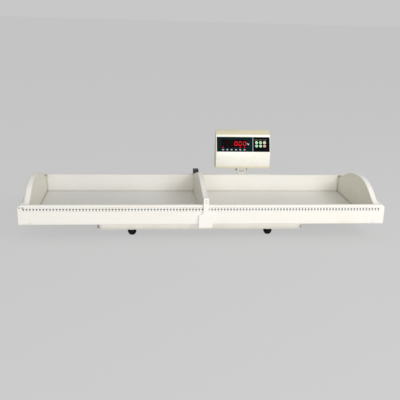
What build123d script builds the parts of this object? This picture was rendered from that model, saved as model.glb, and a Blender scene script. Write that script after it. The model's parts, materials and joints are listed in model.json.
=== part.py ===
"""Animal weighing scale: a long tray with a sliding length stop, on a load-cell base.

Millimetres, +Z up, +Y away from the user, origin on the table under the middle of the scale.
Each sub-part is one node, written to parts/NAME.step.
"""
import math
import os

from build123d import *

os.makedirs("parts", exist_ok=True)

# ---------------------------------------------------------------- driving sizes
# Tray
tray_length = 1160.0
tray_depth = 400.0
rim_height = 121.0
skirt_height = 61.0
floor_drop = 63.0
front_rim = 12.0
back_rim = 20.0
tray_wall = 3.0
tray_corner = 12.0
end_block = 16.0
inner_corner = 8.0

# End walls: a hump above the rims, (share of the depth, share of the hump height)
end_thickness = 21.0
end_inset = 13.0
hump_height = 52.0
hump_shape = ((0.032, 0.0), (0.09, 0.17), (0.18, 0.58), (0.23, 0.76), (0.29, 0.90), (0.38, 1.0),
              (0.50, 0.96), (0.64, 0.79), (0.78, 0.41), (0.90, 0.0))
hump_outer_round = 9.0
hump_inner_round = 3.0
end_shell = 3.0
end_screw_land = 14.0

# Length stop
stop_thickness = 17.0
stop_peak = 44.0
stop_shape = ((0.0, 0.43), (0.135, 0.52), (0.22, 0.66), (0.35, 0.89),
              (0.48, 1.0), (0.60, 0.97), (0.73, 0.73), (0.84, 0.42), (0.94, 0.18))
stop_tail = 8.0
stop_shell = 2.5
stop_gap = 1.0
floor_gap = 2.0
guide_plate = 5.0
guide_post_rise = 24.0
guide_foot_width = 45.0
guide_foot_top = 32.0
guide_foot_bottom = 74.0
guide_fillet = 14.0
hook_sheet = 3.0
rear_guide_rise = 20.0
rear_guide_drop = 25.0
rear_guide_width = 19.0
glide_thickness = 1.5
glide_gap = 0.3

# Weighing mechanism, stacked under the tray floor
pad_thickness = 2.0
carrier_sheet = 3.0
carrier_length = 600.0
carrier_depth = 250.0
spacer_thickness = 2.0
cell_length = 130.0
cell_width = 30.0
cell_height = 18.0
cell_end = 30.0
stop_screw_gap = 1.0

# Base
base_length = 662.0
base_depth = 300.0
base_x = -8.0
base_front = 50.0
base_sheet = 2.0
base_height = 22.0
base_lip = 5.0
base_corner = 15.0

# Levelling feet
foot_x = 224.0
foot_inset = 25.0
foot_diameter = 28.0
foot_sole = 16.0
collar_gap = 1.2
stud_diameter = 8.0
stud_collar = 15.0
collar_height = 4.0
nut_width = 13.0
nut_height = 4.5
insert_height = 6.0

# Post and swivel neck
display_gap = 45.0
post_x = 186.0
post_setback = 33.0
post_diameter = 32.0
post_wall = 2.0
bracket_width = 42.0
bracket_sheet = 3.0
bracket_overlap = 60.0
sleeve_wall = 3.0
sleeve_height = 34.0
spigot_diameter = 20.0
spigot_length = 22.0
bush_flange = 2.0
neck_top = 34.0
neck_bottom = 24.0
neck_depth = 16.0
lug_width = 20.0
pin_diameter = 6.0
pin_drop = 9.0
lug_radius = 8.0
tilt_nut_height = 5.0
tilt_nut_width = 10.0

# Display housing, seen from the side: (back from the lower face, up from its underside)
display_width = 208.0
display_depth = 64.0
display_height = 140.0
display_rise = 9.0
display_wall = 2.8
face_bottom = 8.0
face_bend = 64.5
face_top = 121.0
panel_lean = 20.0
bezel_top = 127.5
bezel_back = 23.0
panel_width = 204.0
panel_height = 56.5
panel_thickness = 1.2
window_x = -36.0
window_up = 2.5
window_width = 98.0
window_height = 32.0
window_ledge = 1.5
keypad_x = 66.5
keypad_up = 0.5
key_pitch_x = 15.4
key_pitch_up = 13.0
key_diameter = 11.0
key_flange = 13.0
key_proud = 1.8
key_travel = 0.8
board_width = 188.0
board_height = 46.0
board_sheet = 1.6
board_set_back = 13.0
battery_size = (97.0, 24.0, 51.0)
main_board_size = (120.0, 60.0)
standoff_length = 6.0

# Fits
running_fit = 0.05
drop_fit = 0.1
seat_gap = 0.2
plate_gap = 0.3
screw_gap = 0.1

# ---------------------------------------------------------------- levels and places
guide_front = stop_gap + guide_plate
total_depth = guide_front + tray_depth + display_gap + display_depth
front_y = -total_depth / 2 + guide_front
back_y = front_y + tray_depth
half_length = tray_length / 2
end_screw_x = half_length - end_inset - end_thickness / 2
end_screw_y = (front_y + front_rim + inner_corner + end_screw_land / 2,
               back_y - back_rim - inner_corner - end_screw_land / 2)
end_screw_spots = [(x, y) for x in (-end_screw_x, end_screw_x) for y in end_screw_y]

rim = rim_height
skirt_bottom = rim - skirt_height
floor_top = rim - floor_drop
floor_bottom = floor_top - tray_wall
carrier_top = floor_bottom - pad_thickness
carrier_bottom = carrier_top - carrier_sheet
cell_top = carrier_bottom - spacer_thickness
cell_bottom = cell_top - cell_height
base_floor = cell_bottom - spacer_thickness
base_bottom = base_floor - base_sheet

base_y = front_y + base_front + base_depth / 2
cell_y = base_y
foot_spots = [(x, y) for y in (base_y - base_depth / 2 + foot_inset, base_y + base_depth / 2 - foot_inset)
              for x in (base_x - foot_x, base_x + foot_x)]
foot_height = base_bottom - nut_height - collar_height - collar_gap - plate_gap
foot_names = ("front_left", "front_right", "rear_left", "rear_right")

display_y = back_y + display_gap
display_z = rim + display_rise
post_y = display_y + post_setback
pin_z = display_z - pin_drop
neck_waist = pin_z - lug_radius - spigot_diameter / 2
post_top = neck_waist - 4.0
panel_angle = math.degrees(math.atan2(panel_lean, face_top - face_bend))
panel_centre = (post_x, display_y + panel_lean / 2, display_z + (face_bend + face_top) / 2)
panel_plane = Plane(origin=panel_centre, x_dir=(1, 0, 0),
                    z_dir=(0, -math.cos(math.radians(panel_angle)), math.sin(math.radians(panel_angle))))

finished = []
up = (Align.CENTER, Align.CENTER, Align.MIN)
down = (Align.CENTER, Align.CENTER, Align.MAX)


def finish(part, name):
    """Name a finished sub-part and write its STEP file."""
    part.label = name
    export_step(part, f"parts/{name}.step")
    finished.append(name)


def hump_points(shape, height, start, length):
    """Points of a hump's top edge in the side view, from its shares."""
    return [(start + u * length, rim + v * height) for u, v in shape]


# ---------------------------------------------------------------- tray
# One long moulding: floor, two double walls and a solid block closing each wall's ends.
with BuildPart() as tray_shell:
    with BuildSketch(Plane.YZ.offset(-half_length)):
        with BuildLine():
            Polyline((front_y, skirt_bottom), (front_y, rim), (front_y + front_rim, rim),
                     (front_y + front_rim, floor_top), (back_y - back_rim, floor_top),
                     (back_y - back_rim, rim), (back_y, rim), (back_y, skirt_bottom),
                     (back_y - tray_wall, skirt_bottom), (back_y - tray_wall, rim - tray_wall),
                     (back_y - back_rim + tray_wall, rim - tray_wall),
                     (back_y - back_rim + tray_wall, floor_bottom),
                     (front_y + front_rim - tray_wall, floor_bottom),
                     (front_y + front_rim - tray_wall, rim - tray_wall),
                     (front_y + tray_wall, rim - tray_wall), (front_y + tray_wall, skirt_bottom),
                     close=True)
        make_face()
    extrude(amount=tray_length)
    for end_x in (-half_length, half_length - end_block):
        with BuildSketch(Plane.YZ.offset(end_x)):
            with Locations((front_y, skirt_bottom)):
                Rectangle(front_rim, skirt_height, align=(Align.MIN, Align.MIN))
            with Locations((back_y - back_rim, skirt_bottom)):
                Rectangle(back_rim, skirt_height, align=(Align.MIN, Align.MIN))
        extrude(amount=end_block)
    long_edges = tray_shell.edges().filter_by(Axis.X)
    floor_edges = long_edges.filter_by_position(Axis.Z, floor_top - 0.1, floor_top + 0.1)
    fillet(floor_edges.filter_by_position(Axis.Y, front_y + 1, back_y - 1), radius=inner_corner)
    rim_ends = tray_shell.edges().filter_by(Axis.Y).filter_by_position(Axis.Z, rim - 0.1, rim + 0.1)
    fillet(rim_ends.filter_by_position(Axis.Y, front_y - 1, front_y + front_rim + 1), radius=tray_corner)
    rim_edges = tray_shell.edges().filter_by(Axis.X).filter_by_position(Axis.Z, rim - 0.1, rim + 0.1)
    fillet(rim_edges, radius=2.0)
    boss_spots = [(x, base_y + y) for x in (-200, 200) for y in (-70, 70)]
    with BuildSketch(Plane.XY.offset(carrier_top)):
        with Locations(*boss_spots):
            Circle(8)
    extrude(amount=pad_thickness)
    with BuildSketch(Plane.XY.offset(carrier_top)):
        with Locations(*boss_spots):
            Circle(2 + screw_gap)
    extrude(amount=pad_thickness + tray_wall * 0.75, mode=Mode.SUBTRACT)
    with BuildSketch(Plane.XY.offset(floor_bottom)):
        with Locations(*end_screw_spots):
            Circle(2 + screw_gap)
    extrude(amount=tray_wall, mode=Mode.SUBTRACT)
finish(tray_shell.part, "tray_shell")

# Each end wall is a block closing the tray's end, with a hump over its inner part.
inner_front = front_y + front_rim + seat_gap
inner_back = back_y - back_rim - seat_gap
block_width = end_inset + end_thickness
cavity_depth = inner_back - inner_front - 2 * (inner_corner + end_screw_land)
for side, name in ((-1, "left_end_wall"), (1, "right_end_wall")):
    outer_x = side * half_length
    inner_x = side * (half_length - block_width)
    hump_x = side * (half_length - end_inset)
    with BuildPart() as hump:
        with BuildSketch(Plane.YZ.offset(min(inner_x, hump_x))):
            crest = hump_points(hump_shape, hump_height, front_y, tray_depth)
            hump_foot = rim - tray_corner
            with BuildLine():
                Spline(*crest)
                Polyline(crest[-1], (crest[-1][0], hump_foot), (crest[0][0], hump_foot), crest[0])
            make_face()
        extrude(amount=end_thickness)
        outer_edge = hump.edges().filter_by(GeomType.BSPLINE).sort_by(Axis.X)[-1 if side > 0 else 0]
        fillet(outer_edge, radius=hump_outer_round)
        inner_edge = hump.edges().filter_by(GeomType.BSPLINE).sort_by(Axis.X)[0 if side > 0 else -1]
        fillet(inner_edge, radius=hump_inner_round)

    with BuildPart() as end_wall:
        with BuildSketch(Plane.YZ.offset(min(inner_x, outer_x))):
            with BuildLine():
                Polyline((inner_front, rim), (inner_back, rim), (inner_back, floor_top + inner_corner),
                         (inner_back - inner_corner, floor_top), (inner_front + inner_corner, floor_top),
                         (inner_front, floor_top + inner_corner), close=True)
            make_face()
        extrude(amount=block_width)
        top_edges = end_wall.faces().sort_by(Axis.Z)[-1].edges().filter_by(Axis.Y)
        fillet(top_edges.sort_by(Axis.X)[-1 if side > 0 else 0], radius=tray_corner)
        add(hump.part)
        with BuildSketch(Plane.XY.offset(floor_top)):
            with Locations(((inner_x + outer_x) / 2, (inner_front + inner_back) / 2)):
                Rectangle(block_width - 2 * end_shell, cavity_depth)
        extrude(amount=rim - floor_top - end_shell - tray_corner, mode=Mode.SUBTRACT)
        with BuildSketch(Plane.XY.offset(floor_top)):
            with Locations(*[(side * end_screw_x, y) for y in end_screw_y]):
                Circle(2 + screw_gap)
        extrude(amount=end_screw_land, mode=Mode.SUBTRACT)
    finish(end_wall.part, name)

# Ruler strip, stuck on the front wall just under the rim.
ruler_length = tray_length - 2 * tray_corner - 2
ruler_height = 15.0
ruler_sheet = 0.5
ruler_drop = 6.5
with BuildPart() as ruler_strip:
    with BuildSketch(Plane.XZ.offset(-front_y)):
        with Locations((0, rim - ruler_drop - ruler_height / 2)):
            Rectangle(ruler_length, ruler_height)
    extrude(amount=ruler_sheet)
finish(ruler_strip.part, "ruler_strip")

# ---------------------------------------------------------------- length stop
half_stop = stop_thickness / 2
ride_level = rim + glide_gap + glide_thickness
panel_back = back_y - 8.0
tail_top = rim + stop_tail
tail_front = front_y + stop_shape[-1][0] * tray_depth
with BuildPart() as divider_panel:
    with BuildSketch(Plane.YZ.offset(-half_stop)):
        crest = hump_points(stop_shape, stop_peak, front_y, tray_depth)
        crest[0] = (front_y - stop_gap, crest[0][1])
        crest[-1] = (crest[-1][0], tail_top)
        low_front = front_y + front_rim + stop_gap
        low_back = back_y - back_rim - stop_gap
        low = floor_top + floor_gap
        with BuildLine():
            Spline(*crest)
            Polyline(crest[-1], (panel_back, tail_top), (panel_back, ride_level), (low_back, ride_level),
                     (low_back, low + inner_corner), (low_back - inner_corner, low),
                     (low_front + inner_corner, low), (low_front, low + inner_corner),
                     (low_front, ride_level), (crest[0][0], ride_level), crest[0])
        make_face()
    extrude(amount=stop_thickness)
    fillet(divider_panel.edges().filter_by(GeomType.BSPLINE), radius=2.0)
    with BuildSketch(Plane.XY.offset(low)):
        with Locations((0, (low_front + low_back) / 2)):
            Rectangle(stop_thickness - 2 * stop_shell, low_back - low_front - 2 * (inner_corner + stop_shell))
    extrude(amount=ride_level - low, mode=Mode.SUBTRACT)
    front_screw_levels = (rim + 8, rim + 15)
    rear_screw_level = (ride_level + tail_top) / 2
    for level in front_screw_levels:
        with Locations(Location((0, front_y - stop_gap, level), (90, 0, 0))):
            Hole(radius=1.5 + screw_gap, depth=10)
    with Locations(Location((0, panel_back, rear_screw_level), (-90, 0, 0))):
        Hole(radius=1.5 + screw_gap, depth=10)
finish(divider_panel.part, "divider_panel")

# Inverted-T plate in front of the front wall, with a hook under the skirt.
with BuildPart() as front_guide:
    half_foot = guide_foot_width / 2
    fillet_drop = guide_foot_top - guide_fillet
    with BuildSketch(Plane.XZ.offset(-(front_y - stop_gap))):
        with BuildLine():
            Line((half_stop, rim + guide_post_rise), (-half_stop, rim + guide_post_rise))
            Line((-half_stop, rim + guide_post_rise), (-half_stop, rim - fillet_drop))
            RadiusArc((-half_stop, rim - fillet_drop), (-half_foot, rim - guide_foot_top), guide_fillet)
            Polyline((-half_foot, rim - guide_foot_top), (-half_foot, rim - guide_foot_bottom),
                     (half_foot, rim - guide_foot_bottom), (half_foot, rim - guide_foot_top))
            RadiusArc((half_foot, rim - guide_foot_top), (half_stop, rim - fillet_drop), guide_fillet)
            Line((half_stop, rim - fillet_drop), (half_stop, rim + guide_post_rise))
        make_face()
    extrude(amount=guide_plate)
    foot_corners = front_guide.edges().filter_by(Axis.Y).group_by(Axis.Z)[0]
    fillet(foot_corners, radius=4.0)
    fillet(front_guide.faces().sort_by(Axis.Y)[0].edges(), radius=1.2)
    hook_top = skirt_bottom - stop_gap
    hook_bottom = hook_top - hook_sheet
    hook_back = front_y + tray_wall + stop_gap
    with BuildSketch(Plane.YZ.offset(-half_foot + 4)):
        with BuildLine():
            Polyline((front_y - stop_gap, hook_bottom), (front_y - stop_gap, hook_top),
                     (hook_back, hook_top), (hook_back, hook_top + 6),
                     (hook_back + 2.5, hook_top + 6), (hook_back + 2.5, hook_bottom), close=True)
        make_face()
    extrude(amount=guide_foot_width - 8)
    for level in front_screw_levels:
        with Locations(Location((0, front_y - guide_front, level), (90, 0, 0))):
            CounterSinkHole(radius=1.5 + screw_gap, counter_sink_radius=3 + screw_gap, depth=guide_plate)
finish(front_guide.part, "front_guide")

# Dark guide block over the stop's tail and the back rim, with a leg down the outside of the back wall.
with BuildPart() as rear_guide:
    with BuildSketch(Plane.YZ.offset(-rear_guide_width / 2)):
        with BuildLine():
            Polyline((panel_back, ride_level), (panel_back, tail_top), (tail_front, tail_top),
                     (tail_front, rim + rear_guide_rise), (back_y + guide_front, rim + rear_guide_rise),
                     (back_y + guide_front, rim - rear_guide_drop),
                     (back_y + stop_gap, rim - rear_guide_drop), (back_y + stop_gap, ride_level), close=True)
        make_face()
    extrude(amount=rear_guide_width)
    top_edges = rear_guide.faces().sort_by(Axis.Z)[-1].edges()
    fillet(top_edges.filter_by(Axis.X), radius=4.0)
    with Locations(Location((0, back_y + guide_front, rear_screw_level), (-90, 0, 0))):
        CounterSinkHole(radius=1.5 + screw_gap, counter_sink_radius=3 + screw_gap,
                        depth=back_y + guide_front - panel_back)
finish(rear_guide.part, "rear_guide")

# Slippery glides between the stop and the two rims.
with BuildPart() as stop_glides:
    with BuildSketch(Plane.XY.offset(rim + glide_gap)):
        with Locations((0, front_y + front_rim / 2)):
            RectangleRounded(stop_thickness - 2, front_rim - 3, 2)
        with Locations((0, back_y - back_rim / 2 - 4)):
            RectangleRounded(stop_thickness - 2, front_rim - 3, 2)
    extrude(amount=glide_thickness)
finish(stop_glides.part, "stop_glides")

# Countersunk screws holding the two guides to the panel.
with BuildPart() as stop_screws:
    rear_shank = back_y + guide_front - panel_back + 8
    stop_seats = [(front_y - guide_front, level, 90, guide_plate + 8) for level in front_screw_levels]
    stop_seats.append((back_y + guide_front, rear_screw_level, -90, rear_shank))
    for face_y, level, turn, shank in stop_seats:
        with Locations(Location((0, face_y, level), (turn, 0, 0))):
            Cylinder(1.5, shank, align=(Align.CENTER, Align.CENTER, Align.MAX))
            Cone(1.5, 3.0, 1.5, align=(Align.CENTER, Align.CENTER, Align.MAX))
finish(stop_screws.part, "stop_screws")

# Screws up through the tray floor into the end walls.
with BuildPart() as end_wall_screws:
    with Locations(*[(x, y, floor_bottom) for x, y in end_screw_spots]):
        Cylinder(2.0, tray_wall + end_screw_land - 2, align=up)
        Cylinder(4.0, 2.0, align=down)
finish(end_wall_screws.part, "end_wall_screws")

# ---------------------------------------------------------------- weighing mechanism
cell_end_x = cell_length / 2 - cell_end / 2
cell_bolt_spots = [(x + dx, cell_y) for x in (-cell_end_x, cell_end_x)
                   for dx in (-cell_end / 4, cell_end / 4)]
cell_bolt = 3.0

# Plate under the tray, on the load cell's free end.
with BuildPart() as tray_carrier:
    with BuildSketch(Plane.XY.offset(carrier_bottom)):
        with Locations((0, base_y)):
            RectangleRounded(carrier_length, carrier_depth, base_corner)
        with Locations(*boss_spots):
            Circle(2 + screw_gap, mode=Mode.SUBTRACT)
        with Locations(*cell_bolt_spots[2:]):
            Circle(cell_bolt + screw_gap, mode=Mode.SUBTRACT)
        with Locations(*cell_bolt_spots[:2]):
            Circle(12, mode=Mode.SUBTRACT)
    extrude(amount=carrier_sheet)
    with Locations(*[(x, y, carrier_top) for x, y in cell_bolt_spots[2:]]):
        Cone(cell_bolt + screw_gap, cell_bolt * 2 + screw_gap, cell_bolt * 0.9, align=down,
             mode=Mode.SUBTRACT)
finish(tray_carrier.part, "tray_carrier")

# Rubber pads that the tray floor rests on.
pad_spots = [(x, base_y + y) for x in (-270, -90, 90, 270) for y in (-100, 100)]
with BuildPart() as carrier_pads:
    with BuildSketch(Plane.XY.offset(carrier_top)):
        with Locations(*pad_spots):
            Circle(15)
    extrude(amount=pad_thickness)
finish(carrier_pads.part, "carrier_pads")

# Screws from below through the carrier into the tray's bosses.
with BuildPart() as tray_screws:
    with Locations(*[(x, y, carrier_bottom) for x, y in boss_spots]):
        Cylinder(2.0, carrier_sheet + pad_thickness + tray_wall * 0.6, align=up)
        Cylinder(4.0, 2.0, align=down)
finish(tray_screws.part, "tray_screws")

# Bending-beam load cell: a bar with two joined bores across it.
with BuildPart() as load_cell:
    with BuildSketch(Plane.XY.offset(cell_bottom)):
        with Locations((0, cell_y)):
            Rectangle(cell_length, cell_width)
    extrude(amount=cell_height)
    bore = cell_height * 0.33
    with BuildSketch(Plane.XZ.offset(-(cell_y - cell_width / 2))):
        with Locations((-bore, cell_bottom + cell_height / 2), (bore, cell_bottom + cell_height / 2)):
            Circle(bore)
        with Locations((0, cell_bottom + cell_height / 2)):
            Rectangle(2 * bore, bore)
    extrude(amount=-cell_width, mode=Mode.SUBTRACT)
    for x, y in cell_bolt_spots:
        with Locations((x, y, cell_top)):
            Cylinder(cell_bolt + screw_gap, cell_height, align=down, mode=Mode.SUBTRACT)
finish(load_cell.part, "load_cell")

# Spacers: under the cell's fixed end and over its free end.
with BuildPart() as cell_spacers:
    for x, level in ((-cell_end_x, base_floor), (cell_end_x, cell_top)):
        with BuildSketch(Plane.XY.offset(level)):
            with Locations((x, cell_y)):
                Rectangle(cell_end, cell_width)
            with Locations((x - cell_end / 4, cell_y), (x + cell_end / 4, cell_y)):
                Circle(cell_bolt + screw_gap, mode=Mode.SUBTRACT)
        extrude(amount=spacer_thickness)
finish(cell_spacers.part, "cell_spacers")

# Four bolts: two up through the base floor, two countersunk down through the carrier.
with BuildPart() as cell_bolts:
    with Locations(*[(x, y, base_bottom) for x, y in cell_bolt_spots[:2]]):
        Cylinder(cell_bolt, base_sheet + spacer_thickness + cell_height * 0.8, align=up)
        Cylinder(5.0, 3.0, align=down)
    with Locations(*[(x, y, carrier_top) for x, y in cell_bolt_spots[2:]]):
        Cylinder(cell_bolt, carrier_sheet + spacer_thickness + cell_height * 0.8, align=down)
        Cone(cell_bolt, cell_bolt * 2, cell_bolt * 0.9, align=down)
finish(cell_bolts.part, "cell_bolts")

# Stop screws that catch the carrier before the cell is overloaded.
stop_spots = [(x, base_y + y) for x in (-270, 270) for y in (-110, 110)]
with BuildPart() as overload_stops:
    with BuildSketch(Plane.XY.offset(base_floor)):
        with Locations(*stop_spots):
            RegularPolygon(radius=5, side_count=6, major_radius=False)
    extrude(amount=5)
    with Locations(*[(x, y, base_floor) for x, y in stop_spots]):
        Cylinder(3.0, carrier_bottom - stop_screw_gap - base_floor, align=up)
finish(overload_stops.part, "overload_stops")

# ---------------------------------------------------------------- base
bracket_top = base_bottom
bracket_bottom = bracket_top - bracket_sheet
base_back = base_y + base_depth / 2
bracket_bolt_spots = [(post_x + x, base_back - y) for x in (-12, 12)
                      for y in (15, bracket_overlap - 15)]
bush_x = post_x - 60.0
bush_level = base_floor + 9.0
bush_radius = 6.0

# Folded sheet pan, open at the top, with a lip round its lower edge.
with BuildPart() as base_pan:
    with BuildSketch(Plane.XY.offset(base_bottom)):
        with Locations((base_x, base_y)):
            RectangleRounded(base_length + 2 * base_lip, base_depth + 2 * base_lip, base_corner + base_lip)
    extrude(amount=base_sheet)
    with BuildSketch(Plane.XY.offset(base_floor)):
        with Locations((base_x, base_y)):
            RectangleRounded(base_length, base_depth, base_corner)
            RectangleRounded(base_length - 2 * base_sheet, base_depth - 2 * base_sheet,
                             base_corner - base_sheet, mode=Mode.SUBTRACT)
    extrude(amount=base_height - base_sheet)
    with BuildSketch(Plane.XY.offset(base_bottom)):
        with Locations(*foot_spots):
            Circle(stud_diameter / 2 + 2 + screw_gap)
        with Locations(*cell_bolt_spots[:2]):
            Circle(cell_bolt + screw_gap)
        with Locations(*bracket_bolt_spots):
            Circle(cell_bolt + screw_gap)
    extrude(amount=base_sheet, mode=Mode.SUBTRACT)
    with Locations(Location((bush_x, base_back, bush_level), (-90, 0, 0))):
        Cylinder(bush_radius, base_sheet, align=down, mode=Mode.SUBTRACT)
finish(base_pan.part, "base_pan")

# Rubber bush in the rear wall for the signal cable.
with BuildPart() as cable_bush:
    with BuildSketch(Plane.XZ.offset(-base_back)):
        with Locations((bush_x, bush_level)):
            Circle(bush_radius + 2)
    extrude(amount=-3)
    with BuildSketch(Plane.XZ.offset(-base_back)):
        with Locations((bush_x, bush_level)):
            Circle(bush_radius - screw_gap)
    extrude(amount=base_sheet + 2)
    with Locations(Location((bush_x, base_back + 3, bush_level), (-90, 0, 0))):
        Cylinder(2.7, base_sheet + 5, align=down, mode=Mode.SUBTRACT)
finish(cable_bush.part, "cable_bush")

# Threaded inserts in the base floor, for the feet.
foot_thread = stud_diameter / 2 + running_fit
with BuildPart() as foot_inserts:
    with BuildSketch(Plane.XY.offset(base_floor)):
        with Locations(*foot_spots):
            Circle(stud_diameter / 2 + 4)
            Circle(foot_thread, mode=Mode.SUBTRACT)
    extrude(amount=insert_height)
    with BuildSketch(Plane.XY.offset(base_bottom)):
        with Locations(*foot_spots):
            Circle(stud_diameter / 2 + 2)
            Circle(foot_thread, mode=Mode.SUBTRACT)
    extrude(amount=base_sheet)
finish(foot_inserts.part, "foot_inserts")

# Lock nuts against the underside of the base.
with BuildPart() as lock_nuts:
    with BuildSketch(Plane.XY.offset(base_bottom - nut_height)):
        with Locations(*foot_spots):
            RegularPolygon(radius=nut_width / 2, side_count=6, major_radius=False)
            Circle(foot_thread, mode=Mode.SUBTRACT)
    extrude(amount=nut_height)
finish(lock_nuts.part, "lock_nuts")

# Levelling feet: a rubber foot and, turning in it, a threaded stud with a hex collar.
stud_socket = foot_height - 5.0
stud_top = base_floor + insert_height + 4.0
for (x, y), corner in zip(foot_spots, foot_names):
    with BuildPart() as foot_pad:
        with BuildSketch(Plane.XZ.offset(-y)):
            with BuildLine():
                Line((x, 0), (x + foot_sole / 2, 0))
                ThreePointArc((x + foot_sole / 2, 0), (x + foot_diameter / 2 - 1, foot_height * 0.45),
                              (x + foot_diameter / 2, foot_height - 3))
                Polyline((x + foot_diameter / 2, foot_height - 3), (x + foot_diameter / 2 - 3, foot_height),
                         (x, foot_height), (x, 0))
            make_face()
        revolve(axis=Axis((x, y, 0), (0, 0, 1)))
        with Locations((x, y, foot_height)):
            Cylinder(foot_thread, stud_socket, align=down, mode=Mode.SUBTRACT)
    finish(foot_pad.part, f"foot_pad_{corner}")

    with BuildPart() as foot_stud:
        with Locations((x, y, foot_height - stud_socket + plate_gap)):
            Cylinder(stud_diameter / 2, stud_top - foot_height + stud_socket - plate_gap, align=up)
        with BuildSketch(Plane.XY.offset(foot_height + plate_gap)):
            with Locations((x, y)):
                RegularPolygon(radius=stud_collar / 2, side_count=6, major_radius=False)
        extrude(amount=collar_height)
    finish(foot_stud.part, f"foot_stud_{corner}")

# ---------------------------------------------------------------- post and neck
sleeve_radius = post_diameter / 2 + drop_fit + sleeve_wall
post_bore = post_diameter / 2 - post_wall

# Steel bracket from under the base to the post, with a socket for it.
with BuildPart() as post_bracket:
    with BuildSketch(Plane.XY.offset(bracket_bottom)):
        with BuildLine():
            Polyline((post_x - bracket_width / 2, base_back - bracket_overlap),
                     (post_x - bracket_width / 2, base_back + bracket_overlap / 2),
                     (post_x - sleeve_radius - 4, post_y))
            ThreePointArc((post_x - sleeve_radius - 4, post_y), (post_x, post_y + sleeve_radius + 4),
                          (post_x + sleeve_radius + 4, post_y))
            Polyline((post_x + sleeve_radius + 4, post_y),
                     (post_x + bracket_width / 2, base_back + bracket_overlap / 2),
                     (post_x + bracket_width / 2, base_back - bracket_overlap),
                     (post_x - bracket_width / 2, base_back - bracket_overlap))
        make_face()
        with Locations(*bracket_bolt_spots):
            Circle(cell_bolt + screw_gap, mode=Mode.SUBTRACT)
    extrude(amount=bracket_sheet)
    with BuildSketch(Plane.XY.offset(bracket_top)):
        with Locations((post_x, post_y)):
            Circle(sleeve_radius)
            Circle(sleeve_radius - sleeve_wall, mode=Mode.SUBTRACT)
    extrude(amount=sleeve_height)
    with BuildSketch(Plane.YZ.offset(post_x - bracket_sheet / 2)):
        with BuildLine():
            Polyline((post_y - sleeve_radius + 1, bracket_top),
                     (post_y - sleeve_radius + 1, bracket_top + 28),
                     (base_back + base_lip + 30, bracket_top), close=True)
        make_face()
    extrude(amount=bracket_sheet)
    with Locations(Location((post_x, post_y + sleeve_radius, bracket_top + sleeve_height / 2), (-90, 0, 0))):
        Cylinder(2.5 + screw_gap, sleeve_wall * 2, align=down, mode=Mode.SUBTRACT)
finish(post_bracket.part, "post_bracket")

with BuildPart() as bracket_bolts:
    with Locations(*[(x, y, bracket_bottom) for x, y in bracket_bolt_spots]):
        Cylinder(cell_bolt, bracket_sheet + base_sheet + 7, align=up)
        Cylinder(5.5, 4.0, align=down)
    with BuildSketch(Plane.XY.offset(base_floor)):
        with Locations(*bracket_bolt_spots):
            RegularPolygon(radius=5, side_count=6, major_radius=False)
    extrude(amount=5)
finish(bracket_bolts.part, "bracket_bolts")

with BuildPart() as post_tube:
    with BuildSketch(Plane.XY.offset(bracket_top)):
        with Locations((post_x, post_y)):
            Circle(post_diameter / 2)
            Circle(post_bore, mode=Mode.SUBTRACT)
    extrude(amount=post_top - bracket_top)
finish(post_tube.part, "post_tube")

with BuildPart() as post_set_screw:
    set_screw_point = (post_x, post_y + post_diameter / 2, bracket_top + sleeve_height / 2)
    with Locations(Location(set_screw_point, (-90, 0, 0))):
        Cylinder(2.5, sleeve_wall + 1, align=up)
finish(post_set_screw.part, "post_set_screw")

# Nylon bush in the post's top, bored for the neck's spigot.
with BuildPart() as swivel_bush:
    with BuildSketch(Plane.XY.offset(post_top)):
        with Locations((post_x, post_y)):
            Circle(post_diameter / 2)
            Circle(spigot_diameter / 2 + running_fit, mode=Mode.SUBTRACT)
    extrude(amount=bush_flange)
    with BuildSketch(Plane.XY.offset(post_top)):
        with Locations((post_x, post_y)):
            Circle(post_bore - drop_fit)
            Circle(spigot_diameter / 2 + running_fit, mode=Mode.SUBTRACT)
    extrude(amount=-spigot_length)
finish(swivel_bush.part, "swivel_bush")

# Swivel neck: a spigot in the bush, widening to a fork for the display's lug.
neck_seat = post_top + bush_flange + plate_gap
half_lug = lug_width / 2 + plate_gap
with BuildPart() as swivel_neck:
    with BuildSketch(Plane.XZ.offset(-(post_y - neck_depth / 2))):
        with BuildLine():
            Polyline((post_x - neck_bottom / 2, neck_seat), (post_x - neck_top / 2, neck_waist + 6),
                     (post_x - neck_top / 2, pin_z), (post_x + neck_top / 2, pin_z),
                     (post_x + neck_top / 2, neck_waist + 6), (post_x + neck_bottom / 2, neck_seat),
                     close=True)
        make_face()
    extrude(amount=-neck_depth)
    with BuildSketch(Plane.YZ.offset(post_x - neck_top / 2)):
        with Locations((post_y, pin_z)):
            Circle(neck_depth / 2)
    extrude(amount=neck_top)
    with BuildSketch(Plane.XY.offset(neck_seat)):
        with Locations((post_x, post_y)):
            Circle(neck_bottom / 2)
    extrude(amount=2.0)
    with Locations((post_x, post_y, neck_seat)):
        Cylinder(spigot_diameter / 2, spigot_length + bush_flange, align=down)
    with BuildSketch(Plane.YZ.offset(post_x - half_lug)):
        with Locations((post_y, pin_z)):
            Rectangle(neck_depth + 4, 2 * lug_radius + 2)
    extrude(amount=2 * half_lug, mode=Mode.SUBTRACT)
    with Locations(Location((post_x, post_y, pin_z), (0, 90, 0))):
        Cylinder(pin_diameter / 2 + running_fit, neck_top + 2, mode=Mode.SUBTRACT)
finish(swivel_neck.part, "swivel_neck")

with BuildPart() as tilt_pin:
    with Locations(Location((post_x, post_y, pin_z), (0, 90, 0))):
        Cylinder(pin_diameter / 2, neck_top + 2 * tilt_nut_height - 2)
finish(tilt_pin.part, "tilt_pin")

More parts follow.
